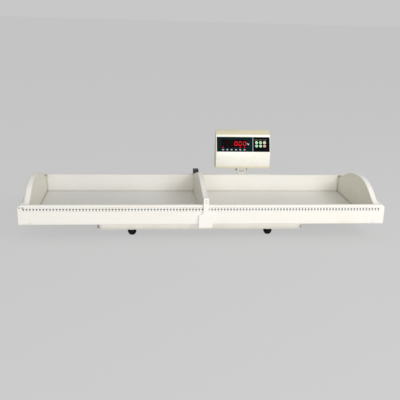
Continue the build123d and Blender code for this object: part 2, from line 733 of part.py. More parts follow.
with BuildPart() as tilt_nuts:
    for nut_x in (post_x - neck_top / 2 - tilt_nut_height, post_x + neck_top / 2):
        with BuildSketch(Plane.YZ.offset(nut_x)):
            with Locations((post_y, pin_z)):
                RegularPolygon(radius=tilt_nut_width / 2, side_count=6, major_radius=False)
                Circle(pin_diameter / 2 + running_fit, mode=Mode.SUBTRACT)
        extrude(amount=tilt_nut_height)
finish(tilt_nuts.part, "tilt_nuts")

# ---------------------------------------------------------------- display housing
def housing_point(back, height):
    """A point of the housing's side view."""
    return (display_y + back, display_z + height)


face_line = [housing_point(1.5, face_bottom), housing_point(0, face_bottom + 4), housing_point(0, face_bend),
             housing_point(panel_lean, face_top), housing_point(bezel_back, bezel_top)]
rear_line = [housing_point(display_depth - 2, display_height),
             housing_point(display_depth, display_height - 3), housing_point(display_depth, 12),
             housing_point(display_depth - 8, 0), housing_point(4, 0)]
half_display = display_width / 2
half_inside = half_display - display_wall


def side_face(outline, half_width):
    """A side-view outline as a face, half_width left of the display's middle."""
    with BuildSketch(Plane.YZ.offset(post_x - half_width)) as profile:
        with BuildLine():
            Polyline(*outline, close=True)
        make_face()
    return profile.sketch


def inside_face():
    """The housing's hollow in the side view, one wall inside its whole outline."""
    with BuildSketch(Plane.YZ.offset(post_x - half_inside)) as profile:
        with BuildLine():
            Polyline(*face_line, *rear_line, close=True)
        make_face()
        offset(amount=-display_wall, kind=Kind.INTERSECTION)
    return profile.sketch


cover_screw_spots = [(side, up_z) for side in (-1, 1) for up_z in (22.0, 86.0)]


def parting_back(height):
    """How far back the parting line lies at a height."""
    share = (height - face_bottom) / (bezel_top - face_bottom)
    return 1.5 + share * (bezel_back - 1.5)


# Front shell: the lower face and the leaning face that holds the panel.
with BuildPart() as front_shell:
    extrude(side_face(face_line, half_display), amount=display_width)
    extrude(inside_face(), amount=2 * half_inside, mode=Mode.SUBTRACT)
    board_boss_spots = [(x, y) for x in (-board_width / 2 + 5, board_width / 2 - 5)
                        for y in (-board_height / 2 + 4, board_height / 2 - 4)]
    with BuildSketch(panel_plane.offset(-board_set_back)):
        with Locations(*board_boss_spots):
            Circle(3)
    extrude(amount=board_set_back - 1.5)
    with BuildSketch(panel_plane.offset(-board_set_back)):
        with Locations(*board_boss_spots):
            Circle(1.25 + screw_gap)
    extrude(amount=8, mode=Mode.SUBTRACT)
    with BuildSketch(panel_plane.offset(-panel_thickness)):
        Rectangle(panel_width + 2 * seat_gap, panel_height + 2 * seat_gap)
    extrude(amount=panel_thickness + 1, mode=Mode.SUBTRACT)
    with BuildSketch(panel_plane.offset(-display_wall * 2)):
        with Locations((window_x, window_up)):
            Rectangle(window_width - 2 * window_ledge, window_height - 2 * window_ledge)
        with Locations((keypad_x, keypad_up)):
            Rectangle(2 * key_pitch_x + key_flange + 2, key_pitch_up + key_flange + 2)
    extrude(amount=display_wall * 2, mode=Mode.SUBTRACT)
    for side, up_z in cover_screw_spots:
        tab_y = display_y + parting_back(up_z)
        tab_x = post_x + side * (half_inside - seat_gap)
        with BuildSketch(Plane.YZ.offset(min(tab_x, tab_x - side * 4))):
            with Locations((tab_y - 1.9, display_z + up_z)):
                Rectangle(13, 10, align=(Align.MIN, Align.CENTER))
        extrude(amount=4)
        with BuildSketch(Plane.YZ.offset(min(tab_x, tab_x + side * seat_gap))):
            with Locations((tab_y - 1.9, display_z + up_z)):
                Rectangle(1, 10, align=(Align.MIN, Align.CENTER))
        extrude(amount=seat_gap)
        with Locations(Location((tab_x, tab_y + 6, display_z + up_z), (0, 90 * side, 0))):
            Cylinder(1.5 + screw_gap, 3.5, align=down, mode=Mode.SUBTRACT)
finish(front_shell.part, "front_shell")

# Rear cover: the deep half, with the tilt lug under it.
with BuildPart() as rear_cover:
    extrude(side_face([face_line[0], face_line[-1], *rear_line], half_display), amount=display_width)
    back_edges = rear_cover.edges().filter_by(Axis.Z).group_by(Axis.Y)[-1]
    fillet(back_edges, radius=5.0)
    extrude(inside_face(), amount=2 * half_inside, mode=Mode.SUBTRACT)
    with BuildSketch(Plane.YZ.offset(post_x - lug_width / 2)):
        with Locations((post_y, pin_z)):
            Circle(lug_radius)
        with Locations((post_y, pin_z)):
            Rectangle(2 * lug_radius, pin_drop + 1, align=(Align.CENTER, Align.MIN))
    extrude(amount=lug_width)
    with Locations(Location((post_x, post_y, pin_z), (0, 90, 0))):
        Cylinder(pin_diameter / 2 + running_fit, lug_width + 2, mode=Mode.SUBTRACT)
    for side, up_z in cover_screw_spots:
        screw_y = display_y + parting_back(up_z) + 6
        face_x = post_x + side * half_display
        with Locations(Location((face_x, screw_y, display_z + up_z), (0, 90 * side, 0))):
            CounterSinkHole(radius=1.5 + screw_gap, counter_sink_radius=3 + screw_gap, depth=display_wall)
    inlet_x = post_x - 60
    gland_x = post_x + 30
    outlet_level = display_z + 24
    with Locations(Location((inlet_x, display_y + display_depth, outlet_level), (-90, 0, 0)),
                   Location((gland_x, display_y + display_depth, outlet_level), (-90, 0, 0))):
        Cylinder(5.0 + screw_gap, display_wall, align=down, mode=Mode.SUBTRACT)
finish(rear_cover.part, "rear_cover")

with BuildPart() as cover_screws:
    for side, up_z in cover_screw_spots:
        screw_y = display_y + parting_back(up_z) + 6
        face_x = post_x + side * half_display
        with Locations(Location((face_x, screw_y, display_z + up_z), (0, 90 * side, 0))):
            Cylinder(1.5, display_wall + 3.4, align=down)
            Cone(1.5, 3.0, 1.5, align=down)
finish(cover_screws.part, "cover_screws")

# Black panel with the window and six key holes.
key_spots = [(keypad_x + column * key_pitch_x, keypad_up + row * key_pitch_up / 2)
             for row in (1, -1) for column in (-1, 0, 1)]
with BuildPart() as display_panel:
    with BuildSketch(panel_plane.offset(-panel_thickness)):
        Rectangle(panel_width, panel_height)
        with Locations((window_x, window_up)):
            Rectangle(window_width + 2 * seat_gap, window_height + 2 * seat_gap, mode=Mode.SUBTRACT)
        with Locations(*key_spots):
            Circle(key_diameter / 2 + plate_gap, mode=Mode.SUBTRACT)
    extrude(amount=panel_thickness)
finish(display_panel.part, "display_panel")

with BuildPart() as display_window:
    with BuildSketch(panel_plane.offset(-panel_thickness)):
        with Locations((window_x, window_up)):
            Rectangle(window_width, window_height)
    extrude(amount=panel_thickness)
finish(display_window.part, "display_window")

# Six push keys, each in its own body.
key_back = panel_thickness + plate_gap
switch_level = board_set_back - 4.0
for index, (x, y) in enumerate(key_spots):
    row_name = "upper" if index < 3 else "lower"
    with BuildPart() as key:
        with BuildSketch(panel_plane.offset(-key_back)):
            with Locations((x, y)):
                Circle(key_diameter / 2)
        extrude(amount=key_back + key_proud)
        outward = Axis(panel_plane.origin, panel_plane.z_dir)
        fillet(key.edges().filter_by(GeomType.CIRCLE).sort_by(outward)[-1], radius=0.8)
        with BuildSketch(panel_plane.offset(-key_back)):
            with Locations((x, y)):
                Circle(key_flange / 2)
        extrude(amount=-1.2)
        with BuildSketch(panel_plane.offset(-key_back)):
            with Locations((x, y)):
                Circle(2.0)
        extrude(amount=-(switch_level - key_back - key_travel - 0.1))
    finish(key.part, f"key_{row_name}_{index % 3 + 1}")

# Display board with its digit block and key switches, held to the front shell's bosses.
with BuildPart() as display_board:
    with BuildSketch(panel_plane.offset(-board_set_back)):
        Rectangle(board_width, board_height)
        with Locations(*board_boss_spots):
            Circle(1.25 + screw_gap, mode=Mode.SUBTRACT)
    extrude(amount=-board_sheet)
finish(display_board.part, "display_board")

with BuildPart() as digit_block:
    with BuildSketch(panel_plane.offset(-board_set_back)):
        with Locations((window_x, window_up)):
            Rectangle(window_width - 2 * window_ledge - 1, window_height - 2 * window_ledge - 1)
    extrude(amount=board_set_back - panel_thickness - seat_gap)
finish(digit_block.part, "digit_block")

with BuildPart() as key_switches:
    with BuildSketch(panel_plane.offset(-board_set_back)):
        with Locations(*key_spots):
            Rectangle(6, 6)
    extrude(amount=3.2)
    with BuildSketch(panel_plane.offset(-board_set_back)):
        with Locations(*key_spots):
            Circle(1.75)
    extrude(amount=board_set_back - switch_level)
finish(key_switches.part, "key_switches")

with BuildPart() as board_screws:
    with BuildSketch(panel_plane.offset(-board_set_back - board_sheet)):
        with Locations(*board_boss_spots):
            Circle(1.25)
    extrude(amount=board_sheet + 6)
    with BuildSketch(panel_plane.offset(-board_set_back - board_sheet)):
        with Locations(*board_boss_spots):
            Circle(2.5)
    extrude(amount=-1.5)
finish(board_screws.part, "board_screws")

# Main board on four standoffs from the rear wall.
inner_back_y = display_y + display_depth - display_wall
main_board_z = display_z + 92.0
standoff_x = main_board_size[0] / 2 - 5
standoff_z = main_board_size[1] / 2 - 5
standoff_spots = [(post_x + x, main_board_z + z) for x in (-standoff_x, standoff_x)
                  for z in (-standoff_z, standoff_z)]
with BuildPart() as board_standoffs:
    with BuildSketch(Plane.XZ.offset(-inner_back_y)):
        with Locations(*standoff_spots):
            RegularPolygon(radius=3, side_count=6, major_radius=False)
    extrude(amount=standoff_length)
finish(board_standoffs.part, "board_standoffs")

with BuildPart() as main_board:
    with BuildSketch(Plane.XZ.offset(-(inner_back_y - standoff_length))):
        with Locations((post_x, main_board_z)):
            Rectangle(*main_board_size)
    extrude(amount=board_sheet)
    with BuildSketch(Plane.XZ.offset(-(inner_back_y - standoff_length - board_sheet))):
        with Locations((post_x - 25, main_board_z + 8)):
            Rectangle(16, 16)
        with Locations((post_x + 15, main_board_z + 12)):
            Rectangle(10, 8)
        with Locations((post_x - 30, main_board_z - 22)):
            Rectangle(34, 7)
    extrude(amount=2.2)
finish(main_board.part, "main_board")

with BuildPart() as buzzer:
    with BuildSketch(Plane.XZ.offset(-(inner_back_y - standoff_length - board_sheet))):
        with Locations((post_x + 42, main_board_z + 10)):
            Circle(6)
    extrude(amount=7)
finish(buzzer.part, "buzzer")

# Sealed battery on the cover's floor, under a strap.
battery_y = display_y + display_depth - display_wall - 11 - battery_size[1] / 2
battery_floor = display_z + display_wall
battery_x = post_x - 20
strap_width = 14.0
strap_sheet = 1.0
with BuildPart() as battery:
    with BuildSketch(Plane.XY.offset(battery_floor)):
        with Locations((battery_x, battery_y)):
            RectangleRounded(battery_size[0], battery_size[1], 1.5)
    extrude(amount=battery_size[2])
finish(battery.part, "battery")

with BuildPart() as battery_strap:
    with BuildSketch(Plane.XZ.offset(-(battery_y - strap_width / 2))):
        with BuildLine():
            side_out = battery_size[0] / 2 + seat_gap
            top_level = battery_floor + battery_size[2] + seat_gap
            Polyline((battery_x - side_out - 12, battery_floor), (battery_x - side_out, battery_floor),
                     (battery_x - side_out, top_level), (battery_x + side_out, top_level),
                     (battery_x + side_out, battery_floor), (battery_x + side_out + 12, battery_floor),
                     (battery_x + side_out + 12, battery_floor + strap_sheet),
                     (battery_x + side_out + strap_sheet, battery_floor + strap_sheet),
                     (battery_x + side_out + strap_sheet, top_level + strap_sheet),
                     (battery_x - side_out - strap_sheet, top_level + strap_sheet),
                     (battery_x - side_out - strap_sheet, battery_floor + strap_sheet),
                     (battery_x - side_out - 12, battery_floor + strap_sheet), close=True)
        make_face()
    extrude(amount=-strap_width)
finish(battery_strap.part, "battery_strap")

# Charger inlet and the signal cable's gland, both inside the rear wall's depth.
with BuildPart() as charger_inlet:
    with BuildSketch(Plane.XZ.offset(-(display_y + display_depth))):
        with Locations((inlet_x, outlet_level)):
            Circle(5.0)
            Circle(3.2, mode=Mode.SUBTRACT)
    extrude(amount=display_wall)
    with BuildSketch(Plane.XZ.offset(-inner_back_y)):
        with Locations((inlet_x, outlet_level)):
            Rectangle(9, 9)
    extrude(amount=3.0)
finish(charger_inlet.part, "charger_inlet")

with BuildPart() as cable_gland:
    with BuildSketch(Plane.XZ.offset(-(display_y + display_depth))):
        with Locations((gland_x, outlet_level)):
            Circle(5.0)
            Circle(2.7, mode=Mode.SUBTRACT)
    extrude(amount=display_wall)
    with BuildSketch(Plane.XZ.offset(-inner_back_y)):
        with Locations((gland_x, outlet_level)):
            RegularPolygon(radius=7, side_count=6, major_radius=False)
            Circle(2.7, mode=Mode.SUBTRACT)
    extrude(amount=3.0)
finish(cable_gland.part, "cable_gland")

print(len(finished), "nodes:", ", ".join(finished))
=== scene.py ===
# %% [markdown]
# # An animal weighing scale
# This is a clinic scale for small animals: a long white tray with humped end walls, a stop that
# slides along it, a ruler on its front wall, and a display on a short post behind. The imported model
# already holds every hard part at its real size, so this lesson gives those parts their finishes,
# adds the printing, the lit digits and the screw heads, and sets the camera and the lights.

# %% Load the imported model
import json
import math

import bmesh
import bpy
from mathutils import Matrix, Vector


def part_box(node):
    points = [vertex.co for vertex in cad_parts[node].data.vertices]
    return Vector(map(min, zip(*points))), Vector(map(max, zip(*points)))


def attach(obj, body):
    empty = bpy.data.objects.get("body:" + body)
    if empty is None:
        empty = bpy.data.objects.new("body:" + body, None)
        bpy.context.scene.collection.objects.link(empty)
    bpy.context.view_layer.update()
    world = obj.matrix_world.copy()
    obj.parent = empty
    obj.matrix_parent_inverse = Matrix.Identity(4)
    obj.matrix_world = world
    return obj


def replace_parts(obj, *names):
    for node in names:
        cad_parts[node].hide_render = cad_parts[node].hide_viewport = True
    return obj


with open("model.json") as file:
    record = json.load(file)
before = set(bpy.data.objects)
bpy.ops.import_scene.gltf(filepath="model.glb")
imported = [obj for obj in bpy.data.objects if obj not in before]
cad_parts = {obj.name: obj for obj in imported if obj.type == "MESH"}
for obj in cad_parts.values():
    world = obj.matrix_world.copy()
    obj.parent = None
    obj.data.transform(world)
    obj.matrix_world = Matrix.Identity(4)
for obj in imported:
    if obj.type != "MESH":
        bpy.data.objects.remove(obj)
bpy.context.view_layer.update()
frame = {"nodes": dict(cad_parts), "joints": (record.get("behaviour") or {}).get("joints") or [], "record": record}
nodes = frame["nodes"]

# %% [markdown]
# ## Camera
# The scale is seen from a little left of its middle, from standing height, with the camera leaning
# forward. A place and three turns say that more plainly than a target point, and allow a small roll.
# The place is measured from the tray's front rim.

# %% Camera
MM = 0.001


def linked(name, data):
    """A new object in the scene that shows the given data."""
    thing = bpy.data.objects.new(name, data)
    bpy.context.scene.collection.objects.link(thing)
    return thing


front_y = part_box("tray_shell")[0].y
rim_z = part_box("tray_shell")[1].z
yaw, pitch, roll = math.radians(5.70), math.radians(16.69), math.radians(-1.59)

lens = bpy.data.cameras.new("camera")
lens.lens = 55.2
lens.sensor_width = 36
lens.clip_start = 0.05
lens.clip_end = 80
camera = linked("camera", lens)
camera.matrix_world = (Matrix.Translation((-0.202, front_y - 1.825, rim_z + 0.567))
                       @ Matrix.Rotation(-yaw, 4, "Z") @ Matrix.Rotation(math.pi / 2 - pitch, 4, "X")
                       @ Matrix.Rotation(-roll, 4, "Z"))
bpy.context.scene.camera = camera
print("camera stands at", [round(value, 3) for value in camera.matrix_world.translation])

# %% [markdown]
# ## Node graphs
# Materials and Geometry Nodes are both graphs of nodes, and a graph is hard to read as a list of
# links. One method adds any node: its settings first, then the values or links of its sockets. What
# it gives back is a socket wrapped in a small class, so that sums can be written as sums:
# `grain * 0.2 + 0.4` adds two Math nodes and links them, and `1 - grain` works too.

# %% Graph and Wire
class Wire:
    """One output socket of a graph, with the arithmetic of Math nodes."""

    def __init__(self, graph, socket):
        self.graph = graph
        self.socket = socket

    def maths(self, operation, *values):
        return self.graph.make("ShaderNodeMath", {"operation": operation}, dict(enumerate(values)))

    def __add__(self, other):
        return self.maths("ADD", self, other)

    def __radd__(self, other):
        return self.maths("ADD", other, self)

    def __sub__(self, other):
        return self.maths("SUBTRACT", self, other)

    def __rsub__(self, other):
        return self.maths("SUBTRACT", other, self)

    def __mul__(self, other):
        return self.maths("MULTIPLY", self, other)

    def __rmul__(self, other):
        return self.maths("MULTIPLY", other, self)

    def __truediv__(self, other):
        return self.maths("DIVIDE", self, other)

    def size(self):
        return self.maths("ABSOLUTE", self)

    def wrap(self, length):
        return self.maths("WRAP", self, length, 0.0)

    def step(self, low, high):
        """0 below low, 1 above high, and a smooth ramp between."""
        return self.graph.make("ShaderNodeMapRange", {"interpolation_type": "SMOOTHSTEP"},
                               {"Value": self, "From Min": low, "From Max": high})


class Graph:
    """A node tree, with one way to add any node to it."""

    def __init__(self, tree):
        self.tree = tree

    def feed(self, socket, value):
        """Link a wire, or each of a list of wires, to a socket, or set its plain value."""
        for item in value if isinstance(value, list) else [value]:
            if isinstance(item, Wire):
                self.tree.links.new(item.socket, socket)
            else:
                socket.default_value = item

    def make(self, kind, settings, sockets, output=0):
        """Add a node and give back one of its outputs, or several where output is a tuple."""
        node = self.tree.nodes.new(kind)
        for name, value in settings.items():
            setattr(node, name, value)
        for place, value in sockets.items():
            self.feed(node.inputs[place], value)
        if isinstance(output, tuple):
            return [Wire(self, node.outputs[name]) for name in output]
        return Wire(self, node.outputs[output]) if node.outputs else node


print("graph and wire ready")

# %% [markdown]
# ## One finish
# Every finish starts from the same shader. The class keeps the running colour and the running
# bump, so that a finish reads as a list of what happened to the surface: a tint where it yellowed,
# a relief where the mould was etched, a gloss that changes where hands rub it. Patterns read Object
# coordinates in metres, so a 1 mm grain is 1 mm on every part.

# %% A finish and its layers
def paint(red, green, blue):
    """A colour given as 0 to 255 per channel, as the shader wants it."""
    shares = [value / 255 for value in (red, green, blue)]
    linear = [share / 12.92 if share <= 0.04045 else ((share + 0.055) / 1.055) ** 2.4 for share in shares]
    return (*linear, 1.0)


class Finish:
    """A Principled material built up in layers."""

    def __init__(self, name, colour, roughness, metallic=0.0):
        self.name = name
        self.material = bpy.data.materials.new(name)
        self.material.use_nodes = True
        self.material.diffuse_color = colour
        self.graph = Graph(self.material.node_tree)
        self.shader = self.material.node_tree.nodes["Principled BSDF"]
        self.set("Base Color", colour)
        self.set("Roughness", roughness)
        self.set("Metallic", metallic)
        self.colour = colour
        self.bumped = None
        self.where = self.graph.make("ShaderNodeTexCoord", {}, {}, "Object")
        axes = ("X", "Y", "Z")
        self.x, self.y, self.z = self.graph.make("ShaderNodeSeparateXYZ", {}, {0: self.where}, axes)

    def set(self, name, value):
        self.graph.feed(self.shader.inputs[name], value)

    def noise(self, size, detail=2.0, stretch=(1, 1, 1)):
        """Soft noise from 0 to 1 whose blotches are about size metres wide."""
        multiply = {"operation": "MULTIPLY"}
        place = self.graph.make("ShaderNodeVectorMath", multiply, {0: self.where, 1: stretch})
        sockets = {"Vector": place, "Scale": 1 / size, "Detail": detail}
        return self.graph.make("ShaderNodeTexNoise", {}, sockets, "Fac")

    def cells(self, size):
        """Distance from the middles of cells about size metres wide."""
        sockets = {"Vector": self.where, "Scale": 1 / size}
        return self.graph.make("ShaderNodeTexVoronoi", {}, sockets, "Distance")

    def tint(self, colour, amount):
        """Mix the running colour towards another by an amount from 0 to 1."""
        sockets = {0: amount, 6: self.colour, 7: colour}
        self.colour = self.graph.make("ShaderNodeMix", {"data_type": "RGBA"}, sockets, 2)
        self.set("Base Color", self.colour)

    def stain(self, colour, edges, amount, size, detail=2.0, stretch=(1, 1, 1)):
        """Tint in soft blotches, where the noise rises between two levels."""
        self.tint(colour, self.noise(size, detail, stretch).step(*edges) * amount)

    def gloss(self, roughness):
        self.set("Roughness", roughness)

    def relief(self, height, depth, strength=1.0):
        """Add a bump whose full height is depth metres."""
        sockets = {"Strength": strength, "Distance": depth, "Height": height}
        if self.bumped:
            sockets["Normal"] = self.bumped
        self.bumped = self.graph.make("ShaderNodeBump", {}, sockets)
        self.set("Normal", self.bumped)


finishes = {}


def keep(*made):
    """File finishes under their own names, which are those that the record gives the parts."""
    for finish in made:
        finishes[finish.name] = finish
    print("finishes so far:", len(finishes))


print("finish ready")

# %% [markdown]
# ## White mouldings
# The tray, its end walls and the stop are satin ABS. Such plastic is never one white: it yellows in
# broad clouds, the mould leaves a fine etched grain, and wiping leaves long faint scuffs that are
# duller than the rest. One function makes them all, with its own white for each part, because parts
# from different moulds never match quite.

# %% Satin white plastic
inner_end, inner_front, floor_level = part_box("right_end_wall")[0]
inner_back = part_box("right_end_wall")[1].y
# The grey of dirt and painted shade in the tray's inner corners.
CORNER_DIRT_AND_SHADE = paint(150, 146, 128)


def middle_of(part):
    low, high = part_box(part)
    return (low + high) / 2


def white_moulding(name, colour, yellowed, scuff_stretch):
    finish = Finish(name, colour, 0.42)
    clouds = finish.noise(160 * MM, 3.0)
    finish.tint(yellowed, clouds.step(0.42, 0.78) * 0.45)
    scuffs = finish.noise(14 * MM, 4.0, scuff_stretch).step(0.60, 0.74)
    finish.tint(paint(205, 200, 188), scuffs * 0.16)
    specks = 1 - finish.cells(9 * MM).step(0.0, 0.055)
    finish.tint(paint(168, 158, 138), specks * finish.noise(60 * MM).step(0.50, 0.66) * 0.35)
    finish.gloss(clouds * 0.12 + scuffs * 0.14 + 0.34)
    finish.relief(finish.noise(0.9 * MM), 0.05 * MM, 0.5)
    finish.relief(finish.noise(45 * MM, 1.0), 0.35 * MM, 0.4)
    return finish


def up_to(distance, width):
    """A mask that rises over the width ahead of a plane and stops just behind it."""
    return distance.step(-width, -0.5 * MM) * (1 - distance.step(1 * MM, 3 * MM))


def corner_grime(finish, amount):
    """Dirt and painted shade in the tray's inner corners: along the floor, behind it, and up its ends."""
    low_down = 1 - (finish.z - floor_level).step(0.5 * MM, 9 * MM)
    inside = (finish.z - floor_level).step(-2 * MM, -0.5 * MM)
    at_back = up_to(finish.y - inner_back, 9 * MM)
    at_ends = up_to(finish.x.size() - inner_end, 8 * MM)
    broken = finish.noise(30 * MM, 4.0) * 0.5 + 0.6
    finish.tint(CORNER_DIRT_AND_SHADE, low_down * at_back * inside * broken * amount)
    finish.tint(CORNER_DIRT_AND_SHADE, at_ends * up_to(finish.y - inner_back, 3 * MM) * inside * broken * amount)
    finish.tint(CORNER_DIRT_AND_SHADE, at_ends * low_down * inside * broken * amount)


def wiped_inside(finish):
    """The inside is greyer: partly wiping wear, partly painted shade that grows towards the left."""
    behind_rim = (finish.y - inner_front).step(-1 * MM, 2 * MM)
    before_rim = 1 - (finish.y - inner_back).step(-1 * MM, 2 * MM)
    below_rim = 1 - (finish.z - rim_z).step(-0.5 * MM, 0.5 * MM)
    streaks = finish.noise(90 * MM, 4.0) * 0.3 + 0.12
    # Painted shade, heavier on the left, away from the lamps.
    left_side_shade = (1 - finish.x.step(-400 * MM, 100 * MM)) * 0.35
    finish.tint(paint(214, 215, 214), behind_rim * before_rim * below_rim * (streaks + left_side_shade))


def worn_ends(finish):
    """Painted shade on the end walls' inner faces, and a painted shadow where each meets the back rim."""
    inner_face = 1 - (finish.x.size() - inner_end).step(0.5 * MM, 2.5 * MM)
    finish.tint(paint(222, 219, 202), inner_face * (finish.noise(60 * MM, 3.0) * 0.4 + 0.5))
    at_back = (finish.y - inner_back).step(-20 * MM, -10 * MM)
    at_rim = (finish.z - rim_z).step(-8 * MM, -3 * MM)
    near_tray = 1 - (finish.x.size() - inner_end).step(8 * MM, 14 * MM)
    # A painted shadow in the gap under each hump's rear end, at the back rim.
    finish.tint(paint(96, 92, 80), at_back * at_rim * near_tray * 0.75)


def worn_stop(finish):
    """The stop's two broad faces are painted greyer than its crest: painted shade, where the crest catches the
    light.
    """
    low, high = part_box("divider_panel")
    thickness = high.x - low.x
    from_middle = (finish.x - middle_of("divider_panel").x).size()
    broad_face = from_middle.step(thickness * 0.34, thickness * 0.48)
    finish.tint(paint(218, 213, 198), broad_face * (finish.noise(50 * MM, 3.0) * 0.3 + 0.6))


for name, fresh, worn, stretch in (
        ("tray_plastic", paint(245, 242, 235), paint(241, 235, 220), (0.08, 1.0, 1.0)),
        ("end_plastic", paint(249, 247, 240), paint(242, 237, 224), (1.0, 0.10, 1.0)),
        ("stop_plastic", paint(250, 248, 242), paint(242, 237, 224), (1.0, 0.10, 1.0)),
        ("guide_plastic", paint(246, 244, 238), paint(240, 236, 224), (1.0, 1.0, 0.12))):
    keep(white_moulding(name, fresh, worn, stretch))
# Wiping wear and painted shade inside the tray.
wiped_inside(finishes["tray_plastic"])
# Painted shade on the end walls' inner faces, and a painted shadow at each hump's rear end.
worn_ends(finishes["end_plastic"])
# Painted shade on the stop's broad faces.
worn_stop(finishes["stop_plastic"])
# Dirt and painted shade in the inner corners of the tray and of the end walls.
corner_grime(finishes["tray_plastic"], 0.6)
corner_grime(finishes["end_plastic"], 0.4)

# %% [markdown]
# ## Black moulding, rubber and nylon
# The rear guide, the switches and the cable fittings are black ABS with a spark-eroded texture, so
# small facets catch the light. The feet and pads are rubber: dull, with dust in the pores. The
# glides and the swivel's bush are natural nylon, which looks like candle wax.

# %% Black plastic, rubber and nylon
def black_moulding():
    finish = Finish("dark_plastic", paint(34, 34, 36), 0.5)
    finish.stain(paint(70, 69, 67), (0.52, 0.80), 0.35, 25 * MM, 4.0)
    finish.gloss(finish.noise(18 * MM, 3.0) * 0.18 + 0.40)
    finish.relief(finish.cells(0.7 * MM), 0.12 * MM, 0.5)
    return finish


def rubber():
    finish = Finish("foot_rubber", paint(8, 11, 13), 0.8)
    finish.set("Specular IOR Level", 0.2)
    dust = finish.noise(7 * MM, 5.0).step(0.48, 0.72)
    finish.tint(paint(60, 58, 55), dust * 0.10)
    low_down = 1 - finish.z.step(0.0, 5 * MM)
    finish.tint(paint(84, 80, 74), low_down * 0.12)
    finish.gloss(dust * 0.12 + 0.74)
    finish.relief(finish.noise(1.3 * MM, 3.0), 0.15 * MM, 0.6)
    return finish


def nylon():
    finish = Finish("nylon", paint(226, 222, 208), 0.36)
    finish.stain(paint(208, 200, 178), (0.40, 0.75), 0.5, 12 * MM, 3.0)
    finish.gloss(finish.noise(5 * MM, 2.0) * 0.15 + 0.30)
    finish.relief(finish.noise(2 * MM, 1.0), 0.06 * MM, 0.4)
    return finish


keep(black_moulding(), rubber(), nylon())

# %% [markdown]
# ## Powder coat
# The base, the bracket and the post are steel under a baked powder. The powder flows before it
# sets, which leaves the skin of an orange, about 1.5 mm across, over a finer grit. Low on the base
# it picks up the grey of a mopped table.

# %% Powder-coated steel
def powder_coat(name, colour, worn):
    finish = Finish(name, colour, 0.45)
    finish.stain(worn, (0.45, 0.80), 0.5, 70 * MM, 3.0)
    grime = (1 - finish.z.step(28 * MM, 44 * MM)) * finish.noise(16 * MM, 4.0)
    finish.tint(paint(158, 150, 132), grime * 0.22)
    finish.gloss(finish.noise(30 * MM, 3.0) * 0.16 + 0.36)
    finish.relief(finish.noise(1.6 * MM, 1.0), 0.12 * MM, 0.6)
    finish.relief(finish.noise(0.35 * MM, 1.0), 0.02 * MM, 0.5)
    return finish


keep(powder_coat("base_paint", paint(250, 247, 239), paint(242, 237, 224)),
     powder_coat("post_paint", paint(236, 231, 214), paint(224, 216, 194)))

# %% [markdown]
# ## Metals
# Screws, nuts and studs are zinc plated: a cool grey with small crystals and dull patches where a
# spanner held them. The carrier is brushed stainless sheet, brushed along its length, so its noise
# is stretched a hundredfold. The load cell is milled aluminium under a clear anodising, and the
# inserts are turned brass.

# %% Zinc, brushed steel, aluminium and brass
def zinc_plate():
    finish = Finish("zinc_steel", paint(204, 205, 202), 0.3, 1.0)
    crystals = finish.cells(1.4 * MM)
    finish.tint(paint(168, 170, 172), crystals.step(0.15, 0.65) * 0.5)
    finish.stain(paint(150, 144, 128), (0.56, 0.76), 0.4, 6 * MM, 4.0)
    finish.gloss(crystals * 0.12 + finish.noise(4 * MM, 3.0) * 0.18 + 0.22)
    finish.relief(finish.noise(0.5 * MM, 2.0), 0.02 * MM, 0.4)
    return finish


def brushed_sheet():
    finish = Finish("carrier_steel", paint(196, 198, 200), 0.35, 1.0)
    lines = finish.noise(0.6 * MM, 3.0, (0.01, 1.0, 1.0))
    finish.tint(paint(160, 162, 165), lines.step(0.35, 0.75) * 0.6)
    finish.gloss(lines * 0.22 + finish.noise(40 * MM, 2.0) * 0.10 + 0.22)
    finish.relief(lines, 0.03 * MM, 0.5)
    return finish


def milled_aluminium():
    finish = Finish("cell_alloy", paint(216, 217, 219), 0.34, 1.0)
    passes = finish.noise(1.2 * MM, 2.0, (1.0, 0.03, 0.03))
    finish.tint(paint(186, 188, 192), passes.step(0.40, 0.70) * 0.5)
    finish.gloss(passes * 0.2 + 0.26)
    finish.relief(passes, 0.03 * MM, 0.4)
    return finish


def turned_brass():
    finish = Finish("brass", paint(214, 178, 108), 0.3, 1.0)
    finish.stain(paint(150, 112, 58), (0.50, 0.75), 0.5, 5 * MM, 4.0)
    finish.gloss(finish.noise(2 * MM, 3.0) * 0.2 + 0.22)
    finish.relief(finish.noise(0.3 * MM, 2.0, (0.2, 0.2, 6.0)), 0.02 * MM, 0.5)
    return finish


keep(zinc_plate(), brushed_sheet(), milled_aluminium(), turned_brass())

# %% [markdown]
# ## The display's plastics
# The front shell is a smooth cream ABS with a slight shine, and the rear cover and the neck are a
# yellower, finely textured batch. Cream plastic of this age has yellowed most at the top, where the
# lamp light falls, so the tint also follows the height.

# %% Cream shell, beige cover and neck
def cream_shell():
    finish = Finish("shell_plastic", paint(254, 252, 243), 0.32)
    finish.stain(paint(247, 241, 220), (0.45, 0.80), 0.5, 70 * MM, 3.0)
    smears = finish.noise(22 * MM, 4.0, (1.0, 1.0, 0.35)).step(0.50, 0.75)
    finish.gloss(smears * 0.16 + 0.26)
    finish.relief(finish.noise(1.2 * MM, 1.0), 0.03 * MM, 0.5)
    return finish


def beige_moulding(name, colour, yellowed):
    finish = Finish(name, colour, 0.5)
    finish.tint(yellowed, finish.z.step(140 * MM, 280 * MM) * finish.noise(50 * MM, 3.0).step(0.3, 0.7) * 0.6)
    finish.gloss(finish.noise(26 * MM, 3.0) * 0.16 + 0.42)
    finish.relief(finish.cells(0.8 * MM), 0.10 * MM, 0.45)
    return finish


def white_lug(finish):
    """The cover's lug, on the tilt pin, is painted the neck's white: painted light, though it sits in the
    display's shadow.
    """
    finish.tint(paint(250, 249, 243), 1 - (finish.z - middle_of("tilt_pin").z).step(8 * MM, 10 * MM))


